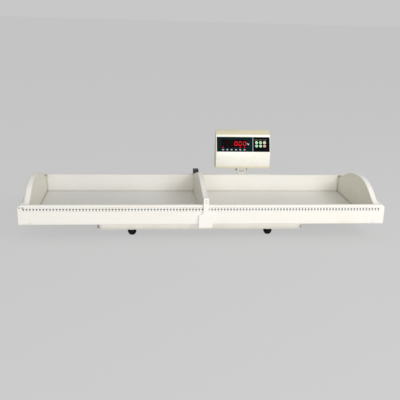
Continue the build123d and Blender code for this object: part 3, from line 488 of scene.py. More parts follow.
keep(cream_shell(), beige_moulding("cover_plastic", paint(240, 233, 203), paint(233, 223, 184)),
     beige_moulding("neck_plastic", paint(253, 252, 247), paint(248, 246, 237)))
white_lug(finishes["cover_plastic"])

# %% [markdown]
# ## Printed films, the window and the keys
# The black panel is a polyester film printed on its back, with fingerprints round the keys. The
# window is smoked red, so that only the lit segments show. The keys are translucent caps: their
# colour deepens in soft blotches. The ruler is a white film, a little glossy.

# %% Panel, window, ruler film and key caps
key_middle = (middle_of("key_upper_2") + middle_of("key_lower_2")) / 2
divider_x = key_middle.x - 29.5 * MM


def panel_film():
    finish = Finish("panel_film", paint(2, 4, 5), 0.2)
    finish.set("Specular IOR Level", 0.07)
    digits_side = 1 - (finish.x - divider_x).step(-0.3 * MM, 0.3 * MM)
    finish.tint(paint(10, 33, 38), digits_side * 0.9)
    finish.stain(paint(22, 30, 33), (0.45, 0.80), 0.3, 30 * MM, 3.0)
    near_keys = 1 - (finish.x - key_middle.x).size().step(18 * MM, 40 * MM)
    fingers = finish.noise(9 * MM, 5.0).step(0.48, 0.70) * near_keys
    finish.gloss(fingers * 0.2 + finish.noise(12 * MM) * 0.06 + 0.14)
    finish.relief(finish.noise(0.6 * MM), 0.01 * MM, 0.4)
    return finish


def smoked_window():
    finish = Finish("window_smoke", paint(10, 2, 4), 0.12)
    finish.set("Specular IOR Level", 0.08)
    finish.stain(paint(24, 4, 6), (0.35, 0.75), 0.6, 22 * MM)
    finish.gloss(finish.noise(15 * MM, 4.0) * 0.14 + 0.06)
    finish.relief(finish.noise(40 * MM, 1.0), 0.05 * MM, 0.3)
    return finish


def ruler_film():
    finish = Finish("ruler_film", paint(243, 241, 235), 0.3)
    finish.stain(paint(228, 222, 203), (0.45, 0.80), 0.6, 35 * MM, 4.0, (0.3, 1.0, 1.0))
    finish.gloss(finish.noise(12 * MM, 4.0, (0.3, 1.0, 1.0)) * 0.20 + 0.22)
    finish.relief(finish.noise(6 * MM, 1.0), 0.04 * MM, 0.3)
    return finish


def key_cap(name, colour, deep):
    finish = Finish(name, colour, 0.26)
    finish.stain(deep, (0.40, 0.80), 0.55, 6 * MM, 2.0)
    finish.gloss(finish.noise(3 * MM, 3.0) * 0.16 + 0.20)
    finish.relief(finish.noise(1.0 * MM, 1.0), 0.03 * MM, 0.4)
    return finish


keep(panel_film(), smoked_window(), ruler_film(),
     key_cap("key_green", paint(196, 250, 198), paint(164, 232, 172)),
     key_cap("key_cream", paint(254, 242, 206), paint(240, 222, 170)),
     key_cap("key_pink", paint(250, 184, 166), paint(234, 154, 138)))

# %% [markdown]
# ## What is inside
# The boards, the digit block and the battery show only when the housing is opened, yet they get the
# same care. A board is green lacquer over copper tracks, which lie as faint raised lines in two
# directions. The battery is a dull grey case with moulded ribs.

# %% Board, digit block and battery case
def board_lacquer():
    finish = Finish("board_green", paint(24, 92, 52), 0.3)
    across = finish.x.wrap(2.54 * MM) / (2.54 * MM)
    along = finish.z.wrap(2.54 * MM) / (2.54 * MM)
    routed = finish.cells(9 * MM).step(0.30, 0.36)
    tracks = (across.step(0.60, 0.68) * routed).maths("MAXIMUM", across.step(0.60, 0.68) * routed,
                                                      along.step(0.62, 0.70) * (1 - routed))
    finish.tint(paint(60, 140, 84), tracks * 0.7)
    finish.gloss(tracks * 0.06 + 0.26)
    finish.relief(tracks, 0.06 * MM, 0.7)
    return finish


def digit_block_plastic():
    finish = Finish("digit_black", paint(24, 22, 23), 0.45)
    finish.stain(paint(48, 44, 44), (0.4, 0.8), 0.5, 8 * MM, 3.0)
    finish.gloss(finish.noise(5 * MM, 3.0) * 0.2 + 0.36)
    finish.relief(finish.noise(0.5 * MM, 2.0), 0.03 * MM, 0.5)
    return finish


def battery_case():
    finish = Finish("battery_case", paint(74, 77, 82), 0.55)
    ribs = (finish.x.wrap(12 * MM) / (12 * MM)).step(0.86, 0.94)
    finish.tint(paint(98, 101, 106), ribs * 0.5)
    finish.stain(paint(56, 57, 60), (0.45, 0.8), 0.5, 14 * MM, 4.0)
    finish.gloss(finish.noise(9 * MM, 3.0) * 0.16 + 0.46)
    finish.relief(ribs, 0.4 * MM, 0.6)
    return finish


keep(board_lacquer(), digit_block_plastic(), battery_case())

# %% [markdown]
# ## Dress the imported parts
# The record names a finish for each part, so one loop can give every part its own. A part keeps its
# mesh: only the material in its slots changes.

# %% Finish on every part
for entry in frame["record"]["subparts"]:
    part = nodes[entry["node"]]
    material = finishes[entry["material_slot"]].material
    if not part.material_slots:
        part.data.materials.append(material)
    for material_slot in part.material_slots:
        material_slot.material = material
print("dressed", len(nodes), "parts with", len(finishes), "finishes")

# %% [markdown]
# ## Piece making
# A new piece is a list of points and faces in metres, already in its place, so that its object can
# stay at the origin. Faces listed one by one can point either way.

# %% Helpers for new pieces
def show(mesh, body):
    """Put a finished mesh in the scene, riding on a body."""
    piece = linked(mesh.name, mesh)
    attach(piece, body)
    return piece


def new_piece(name, points, faces, material, body, slot):
    """A mesh piece in place, riding on a body."""
    mesh = bpy.data.meshes.new(name)
    mesh.from_pydata([tuple(point) for point in points], [], faces)
    mesh.materials.append(material)
    return show(mesh, body)


def disc_outline(centre_u, centre_v, radius, sides=16):
    turns = [2 * math.pi * i / sides for i in range(sides)]
    return [(centre_u + radius * math.cos(turn), centre_v + radius * math.sin(turn)) for turn in turns]


def bar_box(centre_u, centre_v, width, height):
    left, right = centre_u - width / 2, centre_u + width / 2
    low, high = centre_v - height / 2, centre_v + height / 2
    return [(left, low), (right, low), (right, high), (left, high)]


def add_prism(points, faces, outline, frame_at, height):
    """Add a flat outline, given in a frame's own plane, as a closed slab of a height."""
    start = len(points)
    count = len(outline)
    points += [frame_at @ Vector((u, v, 0)) for u, v in outline]
    points += [frame_at @ Vector((u, v, height)) for u, v in outline]
    faces.append(tuple(range(start + count - 1, start - 1, -1)))
    faces.append(tuple(range(start + count, start + 2 * count)))
    for i in range(count):
        j = (i + 1) % count
        faces.append((start + i, start + j, start + count + j, start + count + i))


def upright_frame(origin, outward=(0, -1, 0)):
    """A frame whose x is to the right, whose z is outward, and whose y is up between them."""
    right, outward = Vector((1, 0, 0)), Vector(outward).normalized()
    turn = Matrix((right, outward.cross(right), outward)).transposed().to_4x4()
    return Matrix.Translation(origin) @ turn


print("piece helpers ready")

# %% [markdown]
# ## Printing ink
# Ink is a thin flat layer. Black ink is a little duller than the film under it, and white ink on the
# panel lets some of the black through. All are ordinary finishes with a fine break-up.

# %% Inks and lit segments
def ink(name, colour, worn, shine=0.5):
    finish = Finish(name, colour, 0.5)
    finish.set("Specular IOR Level", shine)
    finish.stain(worn, (0.52, 0.75), 0.5, 3 * MM, 4.0)
    finish.gloss(finish.noise(2 * MM, 2.0) * 0.2 + 0.4)
    finish.relief(finish.noise(0.4 * MM, 1.0), 0.01 * MM, 0.4)
    return finish.material


def lamp_plastic(name, colour, glow, strength):
    finish = Finish(name, colour, 0.3)
    finish.set("Specular IOR Level", 0.15)
    hot = finish.noise(2.5 * MM, 2.0).step(0.30, 0.70)
    finish.tint(glow, hot * 0.5)
    finish.gloss(hot * 0.1 + 0.25)
    finish.shader.inputs["Emission Color"].default_value = glow
    finish.shader.inputs["Emission Strength"].default_value = strength
    return finish.material


black_ink = ink("black_ink", paint(24, 24, 26), paint(58, 57, 55))
bar_ink = ink("bar_ink", paint(70, 70, 73), paint(104, 103, 100))
white_ink = ink("white_ink", paint(214, 218, 220), paint(150, 156, 160))
legend_ink = ink("legend_ink", paint(138, 140, 118), paint(96, 100, 84))
lit_red = lamp_plastic("lit_segment", paint(150, 6, 14), paint(250, 8, 30), 0.75)
unlit_red = ink("unlit_segment", paint(24, 5, 7), paint(18, 4, 6), 0.05)
print("inks ready")

# %% [markdown]
# ## The ruler's lines
# A ruler is one short line repeated every millimetre, longer at each fifth and tenth. Geometry
# Nodes suits it: a row of points, a line on each point, and a length that depends on the point's
# number. The tree has named inputs for the count, the pitch and the three lengths. Flat lines are
# enough, because the ink has no thickness that shows. The same tree, with broad lines a centimetre
# apart, prints the row of grey blocks under them, which can be counted from afar.

# %% A tree for graduated lines
def new_tree(name, inputs):
    """An empty Geometry Nodes tree with named inputs, its graph, and its inputs as wires."""
    tree = bpy.data.node_groups.new(name, "GeometryNodeTree")
    tree.interface.new_socket(name="Geometry", in_out="INPUT", socket_type="NodeSocketGeometry")
    for label, kind in inputs.items():
        tree.interface.new_socket(name=label, in_out="INPUT", socket_type="NodeSocket" + kind)
    tree.interface.new_socket(name="Geometry", in_out="OUTPUT", socket_type="NodeSocketGeometry")
    graph = Graph(tree)
    labels = ("Geometry", *inputs)
    given = dict(zip(labels, graph.make("NodeGroupInput", {}, {}, labels)))
    return tree, graph, given


def close_tree(graph, geometry, material):
    """Make the copies real, give them their material, and send them out."""
    real = graph.make("GeometryNodeRealizeInstances", {}, {0: geometry})
    dressed = graph.make("GeometryNodeSetMaterial", {}, {"Geometry": real, "Material": material})
    graph.make("NodeGroupOutput", {}, {"Geometry": dressed})


def graduation_tree(material):
    tree, graph, given = new_tree("graduation", {"Count": "Int", "Pitch": "Float", "Line Width": "Float",
                                                 "Short": "Float", "Middle": "Float", "Long": "Float",
                                                 "Start": "Vector"})
    offset = graph.make("ShaderNodeCombineXYZ", {}, {"X": given["Pitch"]})
    row = graph.make("GeometryNodeMeshLine", {}, {"Count": given["Count"], "Start Location": given["Start"],
                                                  "Offset": offset})
    number = graph.make("GeometryNodeInputIndex", {}, {})

    def every(period, when_true, when_false):
        rest = graph.make("FunctionNodeIntegerMath", {"operation": "MODULO"}, {0: number, 1: period})
        hit = graph.make("FunctionNodeCompare", {"data_type": "INT", "operation": "EQUAL"}, {2: rest, 3: 0})
        return graph.make("GeometryNodeSwitch", {"input_type": "FLOAT"},
                          {"Switch": hit, "False": when_false, "True": when_true})

    length = every(10, given["Long"], every(5, given["Middle"], given["Short"]))
    size = graph.make("ShaderNodeCombineXYZ", {}, {"X": given["Line Width"], "Y": length, "Z": 1.0})
    line = graph.make("GeometryNodeMeshGrid", {}, {"Size X": 1.0, "Size Y": 1.0,
                                                   "Vertices X": 2, "Vertices Y": 2})
    hung = graph.make("GeometryNodeTransform", {}, {"Geometry": line, "Translation": (0, -0.5, 0)})
    copies = graph.make("GeometryNodeInstanceOnPoints", {}, {"Points": row, "Instance": hung, "Scale": size,
                                                             "Rotation": (math.pi / 2, 0, 0)})
    close_tree(graph, copies, material)
    return tree


def socket_id(tree, label):
    """The identifier of a tree's named input."""
    for item in tree.interface.items_tree:
        if item.item_type == "SOCKET" and item.in_out == "INPUT" and item.name == label:
            return item.identifier
    raise KeyError(label)


def evaluated_mesh(carrier):
    """The plain mesh of an object with its modifiers worked out."""
    bpy.context.view_layer.update()
    graph = bpy.context.evaluated_depsgraph_get()
    return bpy.data.meshes.new_from_object(carrier.evaluated_get(graph))


def grown_mesh(tree, name, start_mesh, **values):
    """Run a tree once on a mesh and return the plain mesh it makes."""
    carrier = linked(name, start_mesh)
    modifier = carrier.modifiers.new("grow", "NODES")
    modifier.node_group = tree
    for label, value in values.items():
        modifier[socket_id(tree, label.replace("_", " "))] = value
    mesh = evaluated_mesh(carrier)
    bpy.data.objects.remove(carrier)
    mesh.name = name
    return mesh


print("graduation tree ready")

# %% Print the ruler's lines
strip_low, strip_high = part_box("ruler_strip")
ink_rise = 0.04 * MM
ink_y = strip_low.y - ink_rise
ruler_margin = 6 * MM
centimetre_count = int((strip_high.x - strip_low.x - 2 * ruler_margin) / MM / 10) + 1
ruler_count = (centimetre_count - 1) * 10 + 1
ruler_start = Vector((strip_low.x + ruler_margin, ink_y, strip_high.z - 0.3 * MM))

line_sizes = {"Line_Width": 0.2 * MM, "Short": 1.4 * MM, "Middle": 2.0 * MM, "Long": 2.6 * MM}
ruler_lines = grown_mesh(graduation_tree(black_ink), "ruler_lines", bpy.data.meshes.new("seed"),
                         Count=ruler_count, Pitch=MM, Start=ruler_start, **line_sizes)
show(ruler_lines, "base")
block_start = ruler_start - Vector((0, 0, 4.2 * MM))
block_sizes = {"Line_Width": 4.8 * MM, **dict.fromkeys(("Short", "Middle", "Long"), 4.6 * MM)}
scale_bar = grown_mesh(graduation_tree(bar_ink), "scale_bar", bpy.data.meshes.new("seed"),
                       Count=centimetre_count, Pitch=10 * MM, Start=block_start, **block_sizes)
show(scale_bar, "base")
print("ruler lines:", ruler_count, "bar blocks:", len(scale_bar.polygons))

# %% [markdown]
# ## The ruler's numbers
# Each centimetre has its number. A text object for each would be slow, so the ten figures are made
# once from the built-in typeface, turned into meshes, and their points are copied for each number.

# %% Ten figures, then every number
def figure_outline(character, height, weight):
    """Points and faces of one printed character, centred on its own middle, and its width."""
    text = bpy.data.curves.new("figure", "FONT")
    text.body = character
    text.size = height / 0.7
    text.offset = weight
    text.resolution_u = 2
    holder = linked("figure", text)
    mesh = evaluated_mesh(holder)
    points = [vertex.co.copy() for vertex in mesh.vertices]
    faces = [tuple(face.vertices) for face in mesh.polygons]
    left = min(point.x for point in points)
    right = max(point.x for point in points)
    points = [Vector((point.x - (left + right) / 2, point.y, 0)) for point in points]
    bpy.data.objects.remove(holder)
    bpy.data.meshes.remove(mesh)
    bpy.data.curves.remove(text)
    return points, faces, right - left


def print_text(points, faces, words, figures, frame_at, gap):
    """Add a word's figures side by side, centred on the frame's origin."""
    widths = [figures[character][2] for character in words]
    cursor = -(sum(widths) + gap * (len(words) - 1)) / 2
    for character, width in zip(words, widths):
        shape, shape_faces, _ = figures[character]
        start = len(points)
        points += [frame_at @ Vector((cursor + width / 2 + point.x, point.y, 0)) for point in shape]
        faces += [tuple(start + i for i in face) for face in shape_faces]
        cursor += width + gap


figure_height = 2.8 * MM
figures = {digit: figure_outline(digit, figure_height, 0.03 * MM) for digit in "0123456789"}
number_points, number_faces = [], []
for centimetre in range(centimetre_count):
    place = Vector((ruler_start.x + centimetre * 10 * MM, ink_y, strip_high.z - 10.2 * MM - figure_height))
    print_text(number_points, number_faces, str(centimetre), figures, upright_frame(place), 0.4 * MM)
new_piece("ruler_numbers", number_points, number_faces, black_ink, "base", "dark_plastic")
print("ruler numbers:", centimetre_count, "faces:", len(number_faces))

# %% Dots at the ruler's left end
dot_points, dot_faces = [], []
dot_level = strip_high.z - 1.5 * MM
for dot_x, dot_y in ((strip_low.x - 6 * MM, front_y), (strip_low.x + 3 * MM, strip_low.y)):
    dot = disc_outline(dot_x, dot_level, 2.1 * MM)
    add_prism(dot_points, dot_faces, dot, upright_frame((0, dot_y, 0)), ink_rise)
new_piece("ruler_dots", dot_points, dot_faces, black_ink, "base", "dark_plastic")
print("dots at", round(dot_level / MM, 1), "mm")

# %% [markdown]
# ## The panel's own frame
# Everything on the display leans back with its face. The keys move straight into that face, so the
# key's joint gives the direction, and the panel's box gives the middle. A frame made from the two
# lets each mark be placed in plain millimetres across and up.

# %% Panel frame
press = next(joint for joint in frame["joints"] if joint["name"] == "key_upper_1_press")
panel_out = -Vector(press["axis"]).normalized()
panel_middle = middle_of("display_panel")
panel_sheet = 1.2 * MM
panel_frame = upright_frame(panel_middle + panel_out * panel_sheet / 2, panel_out)
to_panel = panel_frame.inverted()
window_middle = to_panel @ middle_of("display_window")
print("panel leans back", round(math.degrees(math.asin(panel_out.z)), 2), "degrees")

# %% [markdown]
# ## Lit digits
# A seven-segment digit is seven bars with pointed ends round an 8. The number's shape follows a
# rule, so each bar is worked out from the digit's width and height: three level bars, four upright
# ones. The lit bars glow and the others stay as dark red ghosts, which is what the window shows. The
# slant of such digits is a shear of their points.

# %% Seven-segment digits
digit_height = 16.4 * MM
digit_width = 11.2 * MM
digit_pitch = 16.6 * MM
bar = 2.1 * MM
slant = math.tan(math.radians(6))
LIT = {"0": "abcdef", " ": ""}
lit_rise, unlit_rise = 0.12 * MM, 0.06 * MM
lit_shape, unlit_shape, white_shape, legend_shape = (([], []) for _ in range(4))


def on_panel(shape, outline, rise):
    """Add a prism that stands out of the panel to a shape, which is its points and its faces."""
    add_prism(*shape, outline, panel_frame, rise)


def bar_outline(centre_u, centre_v, length, level):
    """A bar with pointed ends, level or upright, as an outline."""
    half, tip = length / 2, bar / 2
    shape = [(-half, 0), (-half + tip, -tip), (half - tip, -tip),
             (half, 0), (half - tip, tip), (-half + tip, tip)]
    if not level:
        shape = [(-v, u) for u, v in shape]
    return [(centre_u + u, centre_v + v) for u, v in shape]


def digit_bars():
    """The seven bars of a digit round its own middle, by letter."""
    side = (digit_width - bar) / 2
    quarter = (digit_height - bar) / 4
    level_length = digit_width - bar - 0.5 * MM
    upright_length = digit_height / 2 - bar / 2 - 0.5 * MM
    bars = {letter: bar_outline(0, 2 * up * quarter, level_length, True)
            for letter, up in (("a", 1), ("g", 0), ("d", -1))}
    bars.update({letter: bar_outline(across * side, up * quarter, upright_length, False)
                 for letter, across, up in (("b", 1, 1), ("c", 1, -1), ("e", -1, -1), ("f", -1, 1))})
    return bars


reading = "   000"
last_digit_u = window_middle.x + 40.5 * MM
digits_v = window_middle.y + 0.6 * MM
for index, character in enumerate(reading):
    middle_u = last_digit_u - (len(reading) - 1 - index) * digit_pitch
    for letter, outline in digit_bars().items():
        placed = [(middle_u + u + v * slant, digits_v + v) for u, v in outline]
        if letter in LIT[character]:
            on_panel(lit_shape, placed, lit_rise)
        else:
            on_panel(unlit_shape, placed, unlit_rise)
print("digit bars lit and unlit:", len(lit_shape[1]) // 8, len(unlit_shape[1]) // 8)

# %% [markdown]
# ## Point and signal lamps
# The reading needs its decimal point, and a row of small signal lamps under the digits says which
# mode the scale is in: three are lit. Round lamps are prisms of many sides, and bar lamps of four.

# %% Decimal point and signal lamps
point_u = last_digit_u - 1.5 * digit_pitch - 0.4 * MM
point_v = digits_v - digit_height / 2 + 1.2 * MM
on_panel(lit_shape, disc_outline(point_u, point_v, 1.3 * MM), lit_rise)
lamp_v = digits_v - digit_height / 2 - 6.0 * MM
lamp_columns = [last_digit_u - i * digit_pitch for i in range(6)]
for column, lamp_u in enumerate(lamp_columns):
    lamp_bar = bar_box(lamp_u, lamp_v, 5.0 * MM, 2.0 * MM)
    if column in (0, 1):
        on_panel(lit_shape, lamp_bar, 0.15 * MM)
    elif column == 5:
        on_panel(lit_shape, disc_outline(lamp_u, lamp_v, 1.9 * MM), 0.2 * MM)
    else:
        on_panel(unlit_shape, lamp_bar, 0.1 * MM)
new_piece("lit_segments", *lit_shape, lit_red, "display", "window_smoke")
new_piece("unlit_segments", *unlit_shape, unlit_red, "display", "window_smoke")
print("lamps at", [round(lamp_u / MM, 1) for lamp_u in lamp_columns], "mm")

# %% [markdown]
# ## Printing on the panel
# White printing marks the lamps, divides the panel and names the unit. Plain bars stand for the
# legends, and the unit is the ordinary sign for kilograms.

# %% White printing
for lamp_u in lamp_columns:
    on_panel(white_shape, bar_box(lamp_u, lamp_v - 9.2 * MM, 6.4 * MM, 2.8 * MM), ink_rise)
    on_panel(white_shape, bar_box(lamp_u, lamp_v - 12.1 * MM, 4.0 * MM, 0.8 * MM), ink_rise)
key_local = to_panel @ key_middle
divider_u = divider_x - panel_middle.x
panel_levels = [(to_panel @ vertex.co).y for vertex in nodes["display_panel"].data.vertices]
divider_length = max(panel_levels) - min(panel_levels) - 1 * MM
on_panel(white_shape, bar_box(divider_u, 0, 1.5 * MM, divider_length), ink_rise)
legend_v = key_local.y + 16.8 * MM
for share in (-1, 0, 1):
    legend = bar_box(key_local.x + share * 17.5 * MM, legend_v, 13.5 * MM, 1.3 * MM)
    on_panel(legend_shape, legend, ink_rise)
new_piece("key_legends", *legend_shape, legend_ink, "display", "ruler_film")
unit_height = 5.8 * MM
unit_figures = {character: figure_outline(character, unit_height, 0.22 * MM) for character in "kg"}
unit_frame = panel_frame @ Matrix.Translation((last_digit_u + 13.8 * MM, digits_v - 3.6 * MM, ink_rise))
print_text(*white_shape, "kg", unit_figures, unit_frame, 0.5 * MM)
new_piece("panel_printing", *white_shape, white_ink, "display", "ruler_film")
print("panel printing faces:", len(white_shape[1]))

# %% [markdown]
# ## Signs on the keys
# Each cap carries one plain sign, so that the six keys differ: a bar, a cross, a wedge that points
# up, two bars, a ring and a wedge that points down. Each rides on its own key and goes down with it.

# %% Key signs
def ring_outlines(radius, width, sides=14):
    """A ring as a run of short joined blocks."""
    blocks = []
    for i in range(sides):
        a, b = (2 * math.pi * step / sides for step in (i, i + 1))
        blocks.append([(r * math.cos(t), r * math.sin(t))
                       for r, t in ((radius - width, a), (radius, a), (radius, b), (radius - width, b))])
    return blocks


SIGNS = {
    "key_upper_1": [bar_box(0, 0, 5.2 * MM, 1.1 * MM)],
    "key_upper_2": [bar_box(0, 0, 1.1 * MM, 5.2 * MM), bar_box(-1.75 * MM, 0, 2.0 * MM, 1.1 * MM),
                    bar_box(1.75 * MM, 0, 2.0 * MM, 1.1 * MM)],
    "key_upper_3": [[(-2.4 * MM, -1.8 * MM), (2.4 * MM, -1.8 * MM), (0, 2.4 * MM)]],
    "key_lower_1": [bar_box(0, 1.3 * MM, 5.2 * MM, 1.0 * MM), bar_box(0, -1.3 * MM, 5.2 * MM, 1.0 * MM)],
    "key_lower_2": ring_outlines(2.5 * MM, 0.9 * MM),
    "key_lower_3": [[(-2.4 * MM, 1.8 * MM), (0, -2.4 * MM), (2.4 * MM, 1.8 * MM)]],
}
for key_name, outlines in SIGNS.items():
    key_points = [to_panel @ vertex.co for vertex in nodes[key_name].data.vertices]
    cap_top = max(point.z for point in key_points)
    cap_u = (max(point.x for point in key_points) + min(point.x for point in key_points)) / 2
    cap_v = (max(point.y for point in key_points) + min(point.y for point in key_points)) / 2
    cap_frame = panel_frame @ Matrix.Translation((cap_u, cap_v, cap_top))
    sign_points, sign_faces = [], []
    for outline in outlines:
        add_prism(sign_points, sign_faces, outline, cap_frame, ink_rise)
    new_piece("sign_" + key_name, sign_points, sign_faces, black_ink, key_name, "dark_plastic")
print("key signs:", len(SIGNS))

# %% [markdown]
# ## Screw heads
# The countersunk screws of the stop and of the display cover have a cross recess. A screw is the
# same wherever it sits, so a tree makes one, cuts the cross out of its head, and puts a copy on each
# point of a small mesh of seats. Each seat carries the way its screw faces. The two screws on the
# stop's front have white enamelled heads, and the others are zinc plated.

# %% A tree for cross-recess screws
def screw_tree(material):
    tree, graph, given = new_tree("cross_screws", {label: "Float" for label in (
        "Head Radius", "Shank Radius", "Head Height", "Shank Length", "Recess Length", "Recess Width")})

    def sunk(mesh, depth):
        place = graph.make("ShaderNodeCombineXYZ", {}, {"Z": depth})
        return graph.make("GeometryNodeTransform", {}, {"Geometry": mesh, "Translation": place})

    def recess_slot(length, width):
        depth = given["Head Height"] * 1.1
        size = graph.make("ShaderNodeCombineXYZ", {}, {"X": length, "Y": width, "Z": depth})
        return graph.make("GeometryNodeMeshCube", {}, {"Size": size}, "Mesh")

    head = graph.make("GeometryNodeMeshCone", {}, {"Vertices": 28, "Radius Top": given["Head Radius"],
                                                   "Radius Bottom": given["Shank Radius"],
                                                   "Depth": given["Head Height"]}, "Mesh")
    shank = graph.make("GeometryNodeMeshCylinder", {}, {"Vertices": 16, "Radius": given["Shank Radius"],
                                                        "Depth": given["Shank Length"]}, "Mesh")
    cross = graph.make("GeometryNodeJoinGeometry", {}, {0: [
        recess_slot(given["Recess Length"], given["Recess Width"]),
        recess_slot(given["Recess Width"], given["Recess Length"])]})
    cut = graph.make("GeometryNodeMeshBoolean", {"operation": "DIFFERENCE"},
                     {"Mesh 1": sunk(head, given["Head Height"] * -1.0), "Mesh 2": cross}, "Mesh")
    screw = graph.make("GeometryNodeJoinGeometry", {}, {0: [cut, sunk(shank, given["Shank Length"] * -0.5)]})
    facing = graph.make("GeometryNodeInputNamedAttribute", {"data_type": "FLOAT_VECTOR"}, {"Name": "facing"},
                        "Attribute")
    aim = graph.make("FunctionNodeAlignEulerToVector", {"axis": "Z"}, {"Vector": facing})
    copies = graph.make("GeometryNodeInstanceOnPoints", {}, {"Points": given["Geometry"], "Instance": screw,
                                                             "Rotation": aim})
    close_tree(graph, copies, material)
    return tree


def seats_mesh(seats):
    """Points that carry the way each screw faces."""
    mesh = bpy.data.meshes.new("seats")
    mesh.from_pydata([tuple(place) for place, _ in seats], [], [])
    facing = mesh.attributes.new("facing", "FLOAT_VECTOR", "POINT")
    for item, (_, direction) in zip(facing.data, seats):
        item.vector = direction
    return mesh


print("screw tree ready")

# %% Screws of the stop and of the display cover
white_enamel = ink("white_enamel", paint(244, 242, 236), paint(222, 216, 200))
zinc_screws = screw_tree(finishes["zinc_steel"].material)
enamel_screws = screw_tree(white_enamel)


def merged(node):
    """A part's mesh, open for editing, with its doubled points merged."""
    work = bmesh.new()
    work.from_mesh(nodes[node].data)
    bmesh.ops.remove_doubles(work, verts=work.verts, dist=0.01 * MM)
    return work


def islands(node):
    """The boxes of a part's separate solids, as (low, high) corners."""
    work = merged(node)
    boxes, seen = [], set()
    for start in work.verts:
        if start.index in seen:
            continue
        stack, group = [start], []
        while stack:
            vertex = stack.pop()
            if vertex.index in seen:
                continue
            seen.add(vertex.index)
            group.append(vertex.co.copy())
            stack += [edge.other_vert(vertex) for edge in vertex.link_edges]
        boxes.append((Vector([min(p[i] for p in group) for i in range(3)]),
                      Vector([max(p[i] for p in group) for i in range(3)])))
    work.free()
    return boxes


def screws_for(node, body, axis, name, trees):
    """Replace a part's plain countersunk screws, all along one axis, with one tree for each length."""
    boxes = islands(node)
    middle = sum((low + high for low, high in boxes), Vector()) / (2 * len(boxes))
    for_length = {}
    for low, high in boxes:
        centre = (low + high) / 2
        side = 1 if centre[axis] > middle[axis] else -1
        place = centre.copy()
        place[axis] = (high if side > 0 else low)[axis]
        direction = Vector((0, 0, 0))
        direction[axis] = side
        for_length.setdefault(round((high[axis] - low[axis]) / MM, 2), []).append((place, direction))
    made = []
    for number, (length, seats) in enumerate(sorted(for_length.items())):
        mesh = grown_mesh(trees[number], f"{name}_{number + 1}", seats_mesh(seats), Head_Radius=3.0 * MM,
                          Shank_Radius=1.5 * MM, Head_Height=1.5 * MM, Shank_Length=length * MM,
                          Recess_Length=3.6 * MM, Recess_Width=0.8 * MM)
        made.append(show(mesh, body))
    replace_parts(made[0], node)
    print(name, [len(piece.data.polygons) for piece in made])


screws_for("stop_screws", "length_stop", 1, "stop_cross_screws", (enamel_screws, zinc_screws))
screws_for("cover_screws", "display", 0, "cover_cross_screws", (zinc_screws,))

# %% [markdown]
# ## Softer edges on the housing
# A moulding has no knife edges. The two halves of the display housing are large and plain, so a
# highlight along their edges is most of what the eye reads. Each gets a copy with its doubled points
# merged and a narrow bevel on its sharp edges, 0.5 or 0.6 mm wide, which stays inside the CAD box.

# %% Bevelled housing halves
def softened(node, width, body):
    """A copy of a part with narrow bevels on its sharp edges, which stands for it."""
    mesh = nodes[node].data.copy()
    work = merged(node)
    bmesh.ops.dissolve_limit(work, angle_limit=math.radians(1), verts=work.verts, edges=work.edges)
    work.to_mesh(mesh)
    work.free()
    carrier = linked(node, mesh)
    bevel = carrier.modifiers.new("edges", "BEVEL")
    bevel.width = width
    bevel.segments = 2
    bevel.limit_method = "ANGLE"
    bevel.angle_limit = math.radians(40)
    soft = evaluated_mesh(carrier)
    bpy.data.objects.remove(carrier)
    soft.name = node + "_soft"
    soft.shade_smooth()
    soft.set_sharp_from_angle(angle=math.radians(32))
    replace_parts(show(soft, body), node)
    print(soft.name, "faces:", len(soft.polygons))


softened("front_shell", 0.5 * MM, "display")
softened("rear_cover", 0.6 * MM, "display")

# %% [markdown]
# ## Floor and light
# The scale stands on a plain pale floor that meets a backdrop of the same tone, so the two are one
# level grey. The floor is partly lit by the lamp, which keeps the object's shadow, and partly shown
# at its own tone to the camera and to reflections, which keeps it even. A pale sky lights the object
# from all sides. A broad soft box stands low in front, a little to the right, so the floor of the
# tray is darker than its front wall. A weaker one to the right shapes the humps and the stop.

# %% Floor and backdrop
BACKDROP = paint(200, 200, 200)


def seen_directly(graph):
    """1 for rays from the camera, from mirrors and through glass, and 0 for light that bounces."""
    camera_ray, mirror_ray, glass_ray = graph.make("ShaderNodeLightPath", {}, {}, (
        "Is Camera Ray", "Is Glossy Ray", "Is Transmission Ray"))
    return camera_ray.maths("MAXIMUM", camera_ray.maths("MAXIMUM", camera_ray, mirror_ray), glass_ray)


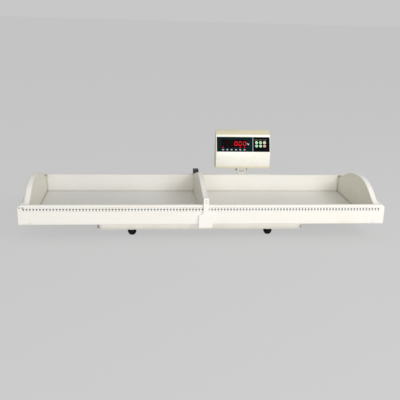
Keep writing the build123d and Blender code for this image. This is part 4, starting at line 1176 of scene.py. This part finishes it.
def floor_material(shadow_share, glow):
    material = bpy.data.materials.new("floor")
    material.use_nodes = True
    material.node_tree.nodes.clear()
    graph = Graph(material.node_tree)
    lit = graph.make("ShaderNodeBsdfDiffuse", {}, {"Color": (0.72, 0.72, 0.72, 1)})
    shown = graph.make("ShaderNodeEmission", {}, {"Color": BACKDROP, "Strength": glow})
    shadowed = graph.make("ShaderNodeMixShader", {}, {0: 1 - shadow_share, 1: lit, 2: shown})
    chosen = graph.make("ShaderNodeMixShader", {}, {0: seen_directly(graph), 1: lit, 2: shadowed})
    graph.make("ShaderNodeOutputMaterial", {}, {"Surface": chosen})
    return material


half_floor = 400.0
floor_mesh = bpy.data.meshes.new("floor")
floor_mesh.from_pydata([(-half_floor, -half_floor, 0), (half_floor, -half_floor, 0),
                        (half_floor, half_floor, 0), (-half_floor, half_floor, 0)], [], [(0, 1, 2, 3)])
floor_mesh.materials.append(floor_material(0.22, 1.06))
linked("floor", floor_mesh)
print("floor", 2 * half_floor, "m square")

# %% Sky and lamps
world = bpy.data.worlds.new("studio")
bpy.context.scene.world = world
world.use_nodes = True
world.node_tree.nodes.clear()
sky = Graph(world.node_tree)
sky_light = sky.make("ShaderNodeBackground", {}, {"Color": (1.0, 0.995, 0.98, 1), "Strength": 0.47})
sky_shown = sky.make("ShaderNodeBackground", {}, {"Color": BACKDROP})
sky_choice = sky.make("ShaderNodeMixShader", {}, {0: seen_directly(sky), 1: sky_light, 2: sky_shown})
sky.make("ShaderNodeOutputWorld", {}, {"Surface": sky_choice})

LAMPS = (("front_lamp", (0.30, -3.6, 0.80), (0.10, -0.1, 0.10), 2.6, 0.9, 52.0),
         ("side_lamp", (1.8, -1.8, 1.95), (0.1, -0.1, 0.10), 1.4, 1.1, 26.0))
for name, place, target, width, height, power in LAMPS:
    panel = bpy.data.lights.new(name, "AREA")
    panel.shape = "RECTANGLE"
    panel.size = width
    panel.size_y = height
    panel.energy = power
    lamp = linked(name, panel)
    lamp.location = place
    lamp.rotation_euler = (Vector(place) - Vector(target)).to_track_quat("Z", "Y").to_euler()
print("lamps:", [entry[0] for entry in LAMPS])

# %% [markdown]
# ## Close
# The view transform is Standard, so colours come out as written.

# %% View transform
bpy.context.scene.view_settings.view_transform = "Standard"
